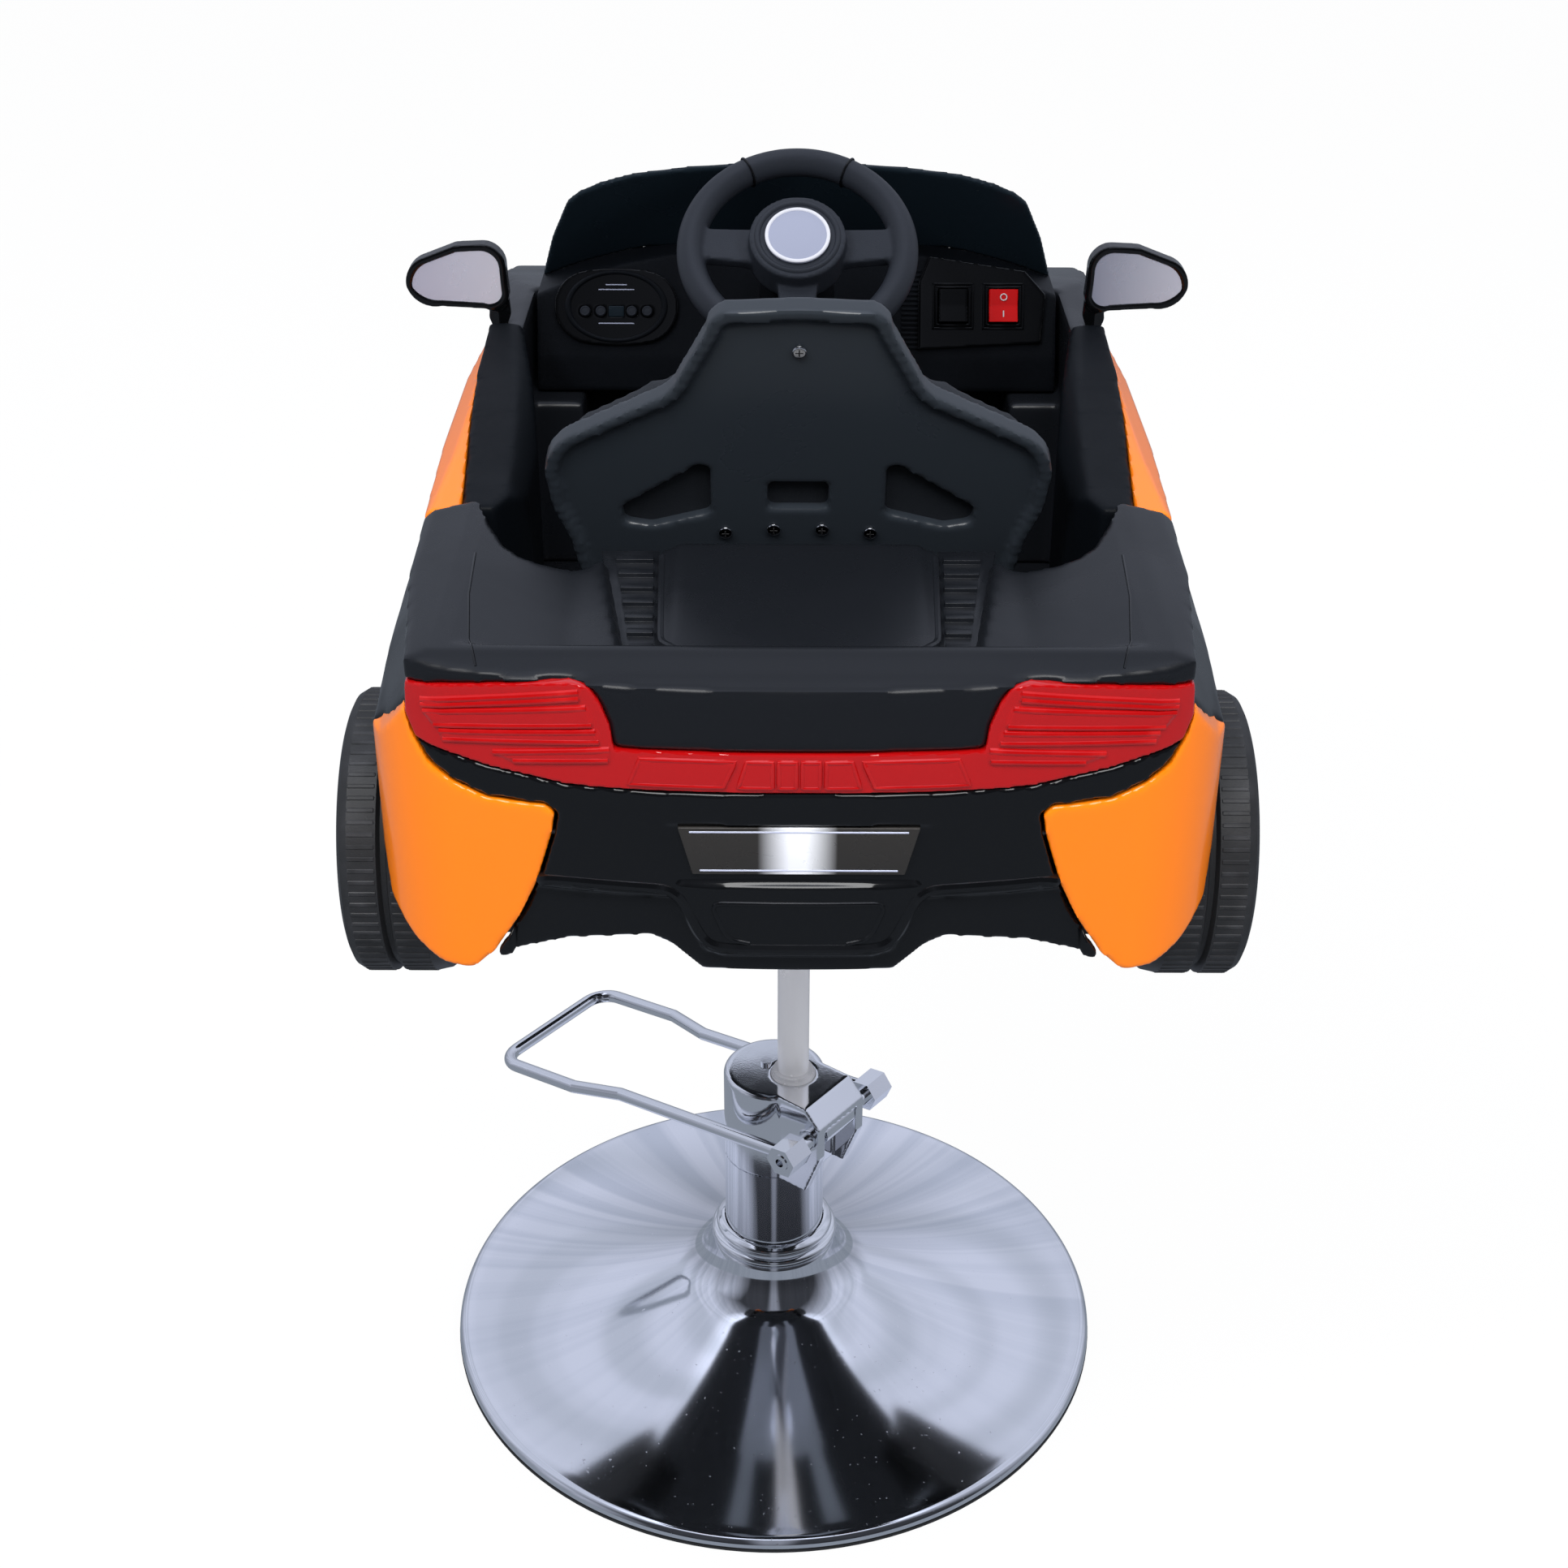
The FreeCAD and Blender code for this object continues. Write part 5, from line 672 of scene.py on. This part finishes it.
def edged(node, finish, width=1.2, segments=3, smooth=35):
    """A node again with its sharp edges eased, as on a cast, bent or machined part."""
    piece = merged_copy(node + "_eased", node)
    edit(piece)
    bpy.ops.mesh.dissolve_limited(angle_limit=math.radians(1))
    done()
    apply_modifier(piece, "BEVEL", width=width * mm, segments=segments, limit_method="ANGLE",
                   angle_limit=math.radians(38), use_clamp_overlap=True)
    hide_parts(node)
    return finished(piece, finish, body_of_node[node], smooth=smooth)


# Lines that lie on a piece, found from well outside it
far_behind = -700
far_above = 600


def on_rear(skin, points, sunk):
    """Places, given as across and height in millimetres, moved onto a piece's rear face."""
    found = []
    for across, up in points:
        start = Vector((across, far_behind, car_level + up)) * mm
        struck, place, _, _ = skin.ray_cast(start, Vector((0, 1, 0)))
        if struck:
            found.append((across, place.y / mm + sunk, car_level + up))
    return found


def on_top(skin, points, sunk):
    """Places, given as across and forward in millimetres, moved down onto a piece."""
    found = []
    for across, forward in points:
        start = Vector((across, forward, car_level + far_above)) * mm
        struck, place, _, _ = skin.ray_cast(start, Vector((0, 0, -1)))
        if struck:
            found.append((across, forward, place.z / mm - sunk))
    return found


def divided(corners, count=8):
    """The same line with each straight stretch cut into a few."""
    line = [corners[0]]
    for start, finish in zip(corners, corners[1:]):
        for step in range(count):
            share = (step + 1) / count
            line.append([a + (b - a) * share for a, b in zip(start, finish)])
    return line


def both_sides(points):
    """A line and its other-handed twin."""
    return [points, [(-across, other) for across, other in points]]


def raised(points, lift):
    """The same line, higher by a lift."""
    return [(across, up + lift) for across, up in points]


def rounded(corners, reach=8, steps=5):
    """A line through corners, with each inner corner turned into a short curve."""
    line = [corners[0]]
    for before, corner, after in zip(corners, corners[1:], corners[2:]):
        ends = []
        for other in (before, after):
            away = math.dist(corner, other)
            share = min(reach / away, 0.5)
            ends.append([c + (o - c) * share for c, o in zip(corner, other)])
        for step in range(steps + 1):
            t = step / steps
            line.append([a * (1 - t) ** 2 + 2 * t * (1 - t) * c + b * t * t
                         for a, c, b in zip(ends[0], corner, ends[1])])
    return line + [corners[-1]]


# The stand's bright cover, with a rolled rim
def arc_points(start, way, finish, count):
    """Points along the arc through three points, without its start."""
    (ax, ay), (bx, by), (cx, cy) = start, way, finish
    scale = 2 * (ax * (by - cy) + bx * (cy - ay) + cx * (ay - by))
    squares = [ax * ax + ay * ay, bx * bx + by * by, cx * cx + cy * cy]
    ox = (squares[0] * (by - cy) + squares[1] * (cy - ay) + squares[2] * (ay - by)) / scale
    oy = (squares[0] * (cx - bx) + squares[1] * (ax - cx) + squares[2] * (bx - ax)) / scale
    reach = math.hypot(ax - ox, ay - oy)
    first = math.atan2(ay - oy, ax - ox)
    sweep = math.remainder(math.atan2(cy - oy, cx - ox) - first, math.tau)
    turns = [first + sweep * (n + 1) / count for n in range(count)]
    return [(ox + reach * math.cos(t), oy + reach * math.sin(t)) for t in turns]


base_low, base_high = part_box("base_cover")
base_middle = [(a + b) / 2 / mm for a, b in zip(base_low[:2], base_high[:2])]
rim = [(297.4, 2.2), (299.4, 2.5), (300, 5)] + arc_points((300, 5), (298, 9.6), (290, 12), count=5)
sweep = arc_points((290, 12), (180, 27), (92, 55), count=14)
neck = arc_points((92, 55), (66, 74), (56, 98), count=10)
cover = turned("trumpet_cover", rim + sweep + neck + [(52, 98.1), (46, 98.1)], centre=base_middle,
               steps=128, rounds=1)
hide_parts("base_cover")
finished(cover, trumpet_chrome, "pump_stand", smooth=60)
collar_beads = turned("neck_beads", [
    (46.5, 98.2), (56, 98.4), (58.4, 100), (58.8, 103), (57.6, 105.8), (54.5, 107.2), (52.2, 107.8),
    (51, 108.8), (53.2, 110), (54.6, 112), (53.4, 114.4), (50.8, 115.8), (49, 117), (46.5, 117.8)],
    centre=base_middle, steps=48, rounds=2)
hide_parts("neck_collar")
finished(collar_beads, chrome, "pump_stand", smooth=60)

# Mouldings and castings
shell = moulded("body_shell", black_shell, voxel=3.2, rounds=6, share=0.3)
bumper = moulded("rear_bumper", gloss_black, voxel=2)
moulded("corner_panel_right", orange_gloss, voxel=1.8, rounds=10)
moulded("corner_panel_left", orange_gloss, voxel=1.8, rounds=10)
tail_lens = moulded("tail_light", red_lens, voxel=1.1, rounds=3, share=0.35)
moulded("front_bumper", gloss_black, voxel=2, share=0.4)
moulded("headlights", lamp_clear, voxel=1.2, rounds=4)
moulded("seat_shell", seat_plastic, voxel=2.2, rounds=4)
for side in ("right", "left"):
    moulded("door_panel_" + side, orange_gloss, voxel=2)
    moulded("door_lining_" + side, lining_black, voxel=2.6, rounds=8)
    moulded("mirror_" + side, gloss_black, voxel=1.2, rounds=4)
moulded("dashboard", dash_plastic, voxel=2.2, rounds=4, share=0.4)
moulded("windscreen", screen_black, voxel=1.8, rounds=4)
moulded("steering_wheel", grip_plastic, voxel=1.5, rounds=6, share=0.6)
edged("deck_vents", black_shell, width=0.7)
moulded("pump_head", chrome, voxel=1.2, rounds=3, share=0.6)


# Pads: swollen covers over foam
def pad_cover(name, node, body, swell, inset):
    """A stuffed cover: a skin set in by a few millimetres and blown up by no more than its swell."""
    piece = merged_copy(name, node)
    low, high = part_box(node)
    middle = [(a + b) / 2 for a, b in zip(low, high)]
    shrink = [1 - 2 * inset * mm / (b - a) for a, b in zip(low, high)]
    edit(piece)
    bpy.ops.transform.resize(value=shrink, center_override=middle)
    done()
    apply_modifier(piece, "REMESH", mode="VOXEL", voxel_size=5 * mm)
    alone(piece)
    bpy.context.scene.frame_set(1)
    cloth = piece.modifiers.new("cloth", "CLOTH")
    cloth.settings.use_pressure = True
    cloth.settings.uniform_pressure_force = 4
    cloth.settings.effector_weights.gravity = 0
    cloth.settings.mass = 0.2
    cloth.settings.tension_stiffness = 18
    cloth.settings.compression_stiffness = 12
    cloth.settings.bending_stiffness = 1
    for moment in range(1, 21):
        bpy.context.scene.frame_set(moment)
    graph = bpy.context.evaluated_depsgraph_get()
    blown = [v.co.copy() for v in piece.evaluated_get(graph).data.vertices]
    piece.modifiers.remove(cloth)
    bpy.context.scene.frame_set(1)
    for corner, spot in zip(piece.data.vertices, blown):
        move = spot - corner.co
        if move.length > swell * mm:
            move *= swell * mm / move.length
        corner.co += move
    apply_modifier(piece, "SMOOTH", factor=0.5, iterations=3)
    apply_modifier(piece, "SUBSURF", levels=1, render_levels=1)
    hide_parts(node)
    finished(piece, seat_vinyl, body, smooth=70)


pad_cover("seat_back_cover", "seat_back_pad", "car", swell=5, inset=4)
pad_cover("seat_cushion_cover", "seat_cushion", "car", swell=5, inset=4)


# Tyres: two ribbed bands round the tread
def tread_ribs(name, axle, across, body):
    """Cross ribs round a tyre, drawn once and spun into two bands."""
    count = 76
    radius = 96
    half_rib = 1.6
    rooted = 2.4
    proud = 0.5
    side = 1 if across > 0 else -1
    ribs = []
    for label, start, finish in (("_outer", 9, 27), ("_inner", -20, 0)):
        rib = block(name + label, (across + side * start, -half_rib, radius - rooted),
                    (across + side * finish, half_rib, radius + proud), segments=1)
        edit(rib)
        bpy.ops.transform.translate(value=axle)
        bpy.ops.mesh.spin(steps=count - 1, dupli=True, angle=math.tau * (count - 1) / count,
                          center=axle, axis=(1, 0, 0))
        done()
        ribs.append(rib)
    piece = joined(name, ribs)
    edit(piece)
    bpy.ops.mesh.normals_make_consistent(inside=False)
    done()
    finished(piece, tyre_plastic, body)


for label in ("rear_left", "rear_right", "front_left", "front_right"):
    node = "wheel_" + label
    low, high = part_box(node)
    axle = (0, (low[1] + high[1]) / 2, (low[2] + high[2]) / 2)
    tread_ribs("tread_" + label, axle, (low[0] + high[0]) / 2 / mm, body_of_node[node])


# Steering wheel: grip seams, hub ring, badge and column cover
wheel_forward = 115
wheel_up = 371
wheel_lean = 38
rim_radius = 84
wheel_frame = lean_frame(wheel_forward, wheel_up, wheel_lean - 90)
for label, angle in (("left", 118), ("right", 62)):
    spot = math.radians(angle)
    seam = ring("grip_seam_" + label, radius=11.6, section=0.9, steps=40)
    seam.matrix_world = (Matrix.Rotation(-spot, 4, "Y") @ Matrix.Translation((rim_radius * mm, 0, 0))
                         @ Matrix.Rotation(math.pi / 2, 4, "X"))
    finished(seam, gloss_black, "steering", wheel_frame)
hub_ring = ring("hub_ring", radius=31.5, section=2.4, depth=-17.6, flat=0.8)
finished(hub_ring, grip_plastic, "steering", wheel_frame)
badge_disc = disc("badge_disc", radius=25.4, back=-18, front=-20.6, steps=72)
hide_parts("steering_badge")
finished(badge_disc, badge_grey, "steering", wheel_frame)
badge_bead = ring("badge_bead", radius=24, section=1.5, depth=-20.4, flat=0.7)
finished(badge_bead, ring_white, "steering", wheel_frame)
column_cover = turned("column_cover", [(30, -66), (31, -60), (28, -30), (25, -12), (22, -9)],
                      steps=48, rounds=1)
apply_modifier(column_cover, "SOLIDIFY", thickness=2 * mm, offset=-1)
finished(column_cover, dash_plastic, "steering", lean_frame(wheel_forward, wheel_up, wheel_lean))

# Dashboard: music panel, buttons, switches and the ribbed strip
dash_frame = lean_frame(195, 255, -26.565)
music_across = -151
music_up = 42
key_up = 38
key_pitch = 13
moulded("music_panel", gloss_black, voxel=1, rounds=3)
music_bead = ring("music_bead", radius=40.5, section=2.6, across=music_across, depth=-4, up=music_up,
                  tall=0.7, flat=0.8)
finished(music_bead, dash_plastic, "car", dash_frame)
half_wide = 6.5
half_tall = 4.5
display = block("music_display", (music_across - half_wide, -4.6, key_up - half_tall),
                (music_across + half_wide, -2, key_up + half_tall), round_by=0.8)
finished(display, screen_black, "car", dash_frame)
for number, step in enumerate((-2, -1, 1, 2)):
    label = str(number + 1)
    key_across = music_across + key_pitch * step
    key = disc("music_key_" + label, radius=4.4, back=-1.8, front=-6.4, round_by=1.1,
               across=key_across, up=key_up, steps=32)
    dish = ring("key_rim_" + label, radius=3.4, section=0.5, across=key_across, depth=-6.3, up=key_up,
                steps=32)
    key = joined("music_key_" + label, [key, dish])
    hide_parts("music_button_" + label)
    finished(key, grip_plastic, "button_" + label, dash_frame)
half_stroke = 0.5
stroke_front = -4.3
stroke_back = -3.4
for row, reach in ((60, 9), (56, 15), (28, 15)):
    stroke = block("music_stroke_" + str(row), (music_across - reach, stroke_front, row - half_stroke),
                   (music_across + reach, stroke_back, row + half_stroke), round_by=0.3, segments=2)
    finished(stroke, badge_grey, "car", dash_frame)
moulded("switch_panel", gloss_black, voxel=1, rounds=3)
moulded("rocker_direction", gloss_black, voxel=0.7, rounds=3, share=0.6)
moulded("rocker_power", red_rocker, voxel=0.7, rounds=3, share=0.6)
rocker_up = 43
power_across = 173
frame_back = -3.6
mark_front = -9.6
mark_back = -8.6
for label, spot in (("direction", 131), ("power", power_across)):
    frame_parts = []
    for edge, reach, lift in (("wide", 16.4, -5.4), ("narrow", 13.6, -6)):
        tall = reach + 2
        for name, low, high in (
                ("left", (-reach - 1, -tall - 1), (1 - reach, tall + 1)),
                ("right", (reach - 1, -tall - 1), (reach + 1, tall + 1)),
                ("low", (-reach - 1, -tall - 1), (reach + 1, 1 - tall)),
                ("high", (-reach - 1, tall - 1), (reach + 1, tall + 1))):
            frame_parts.append(block(edge + name, (spot + low[0], lift, rocker_up + low[1]),
                                     (spot + high[0], frame_back, rocker_up + high[1])))
    finished(joined("rocker_frame_" + label, frame_parts), gloss_black, "car", dash_frame)
off_mark = ring("rocker_off_ring", radius=2.6, section=0.45, across=power_across, depth=mark_front,
                up=rocker_up + 7, steps=40)
finished(off_mark, mark_white, "power_rocker", dash_frame)
on_mark = block("rocker_on_bar", (power_across - 0.5, mark_front, rocker_up - 9.5),
                (power_across + 0.5, mark_back, rocker_up - 4), round_by=0.3, segments=2)
finished(on_mark, mark_white, "power_rocker", dash_frame)
rib_pitch = 4
rib_tall = 2.2
rib_left = 88
rib_right = 104
lowest_rib = 8
strip = []
for count in range(17):
    low = lowest_rib + count * rib_pitch
    strip.append(block("rib", (rib_left, -1.4, low), (rib_right, 0.6, low + rib_tall), round_by=0.5,
                       segments=2))
finished(joined("dash_ribs", strip), dash_plastic, "car", dash_frame)

# Seat: cross-slotted screws in the back of its shell
seat_frame = lean_frame(-160, 249, 17)
screw_spots = [(-51, 3), (-17, 6), (17, 6), (51, 3), (0, 158)]
heads = joined("seat_screw_heads", [
    disc("head", radius=4.9, back=0, front=-2.9, round_by=1.2, across=across, up=up, steps=32)
    for across, up in screw_spots])
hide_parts("seat_screws")
finished(heads, chrome, "car", seat_frame)
long_half = 2.7
short_half = 0.5
slot_front = -3.1
slot_back = -2.4
slots = []
for across, up in screw_spots:
    for wide, tall in ((long_half, short_half), (short_half, long_half)):
        slots.append(block("slot", (across - wide, slot_front, up - tall),
                           (across + wide, slot_back, up + tall), round_by=0.2, segments=1))
finished(joined("screw_slots", slots), rubber_black, "car", seat_frame)


# Bumper: the apron set in under a rounded ledge, and the rim of the apron's hollow
def step_in(skin, lines, depth, over):
    """Pushes a piece's skin in below a line, and eases the step over some millimetres."""
    for corner in skin.data.vertices:
        across, up = abs(corner.co.x) / mm, corner.co.z / mm - car_level
        for (x, z), (next_x, next_z) in zip(lines, lines[1:]):
            if x <= across < next_x:
                edge = z + (next_z - z) * (across - x) / (next_x - x)
                share = min(max((edge - up) / over, 0), 1)
                corner.co.y += depth * mm * share * share * (3 - 2 * share)


ledge_right = [(46, 104), (58, 108), (75, 146), (160, 148), (178, 118)]
step_in(bumper, [(0, 104)] + ledge_right, depth=7, over=6)
ledge = [(-x, z) for x, z in reversed(ledge_right)] + ledge_right
ledge_line = divided(rounded(raised(ledge, lift=5), reach=12), count=3)
ledge_bead = bead_along("bumper_ledge", on_rear(bumper, ledge_line, sunk=2.5), radius=4.5)
finished(ledge_bead, gloss_black, "car")
hollow = [(-30, 113), (-44, 116), (-54, 142), (54, 142), (44, 116), (30, 113)]
hollow_line = divided(rounded(hollow), count=3)
hollow_bead = bead_along("bumper_hollow_rim", on_rear(bumper, hollow_line, sunk=0.3), radius=1.5)
finished(hollow_bead, gloss_black, "car")

# Tail light: the edges of its raised bars and boxes
lens_bars = [[(129, 283), (224, 269.5)], [(125, 273), (223, 262)], [(120, 257.5), (214, 250)],
             [(112, 246), (182, 239)], [(129, 279), (224, 266)], [(122, 262), (217, 254)],
             [(118, 251), (212, 245)], [(113, 239), (170, 234.5)]]
lens_boxes = [[(45, 224), (101, 224), (94, 241), (38, 241), (45, 224)],
              [(16, 224), (36, 224), (31, 241), (16, 241), (16, 224)],
              [(2, 224), (12, 224), (12, 241), (2, 241), (2, 224)]]
beads = []
for lines, thick in ((lens_bars, 2.4), (lens_boxes, 1.7)):
    for line in lines:
        for points in both_sides(line):
            spots = on_rear(tail_lens, divided(points), sunk=thick * 0.55)
            beads.append(bead_along("lens_bead", spots, radius=thick))
finished(joined("lens_beads", beads), red_lens, "car")

# Deck: the rounded edge of its middle panel, and its two long seams
panel_edge = [(-90, -262), (-84, -400), (-66, -420), (66, -420), (84, -400), (90, -262)]
panel_line = divided(rounded(panel_edge, reach=16), count=6)
panel_bead = bead_along("deck_panel_edge", on_top(shell, panel_line, sunk=1.6), radius=3)
finished(panel_bead, black_shell, "car")
seam_line = [(208, -300), (205, -360), (198, -420), (190, -452)]
beads = [bead_along("deck_seam", on_top(shell, divided(points), sunk=0.4), radius=0.9)
         for points in both_sides(seam_line)]
finished(joined("deck_seams", beads), gloss_black, "car")

# Number plate: a bare sheet with pale lines along its long edges
plate_low, plate_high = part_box("number_plate")
edged("number_plate", plate_silver, width=0.8)
plate_front = plate_low[1] / mm
from_edge = 3
half_line = 0.6
lines = []
for label, up, reach in (("low", plate_low[2] / mm + from_edge, 60),
                         ("high", plate_high[2] / mm - from_edge, 66)):
    lines.append(block(label, (-reach, plate_front - 0.25, up - half_line),
                       (reach, plate_front + 0.4, up + half_line), round_by=0.2, segments=1))
finished(joined("plate_lines", lines), badge_grey, "car")

# Nodes that keep their own mesh
coats = {
    chrome: ["pump_tube", "filler_screw", "pedal_shaft", "pedal_bar", "ram_socket"],
    ram_steel: ["ram_rod", "pump_barrel", "ram_seal"],
    zinc_steel: ["base_plate", "mount_frame", "rear_axle", "steering_shaft", "tie_rod",
                 "knuckle_left", "knuckle_right", "door_pins"],
    black_shell: ["floor_pan", "foot_pedal"],
    tyre_plastic: ["wheel_rear_left", "wheel_rear_right", "wheel_front_left", "wheel_front_right",
                   "floor_ring"],
    # The mirror glass takes the painted reflection.
    mirror_silver: ["mirror_glass_left", "mirror_glass_right"],
}
for finish, members in coats.items():
    for member in members:
        nodes[member].data.materials.clear()
        nodes[member].data.materials.append(finish)

# The sheen lamp lights the pieces at the rear, but not the bright metal
for piece in bpy.context.scene.objects:
    paint = piece.active_material
    if paint is not None and piece.type == "MESH" and "chrome" not in paint.name:
        rearmost = min(corner[1] for corner in piece.bound_box)
        if rearmost < -0.1 and piece.name != "floor":
            rear_pieces.objects.link(piece)
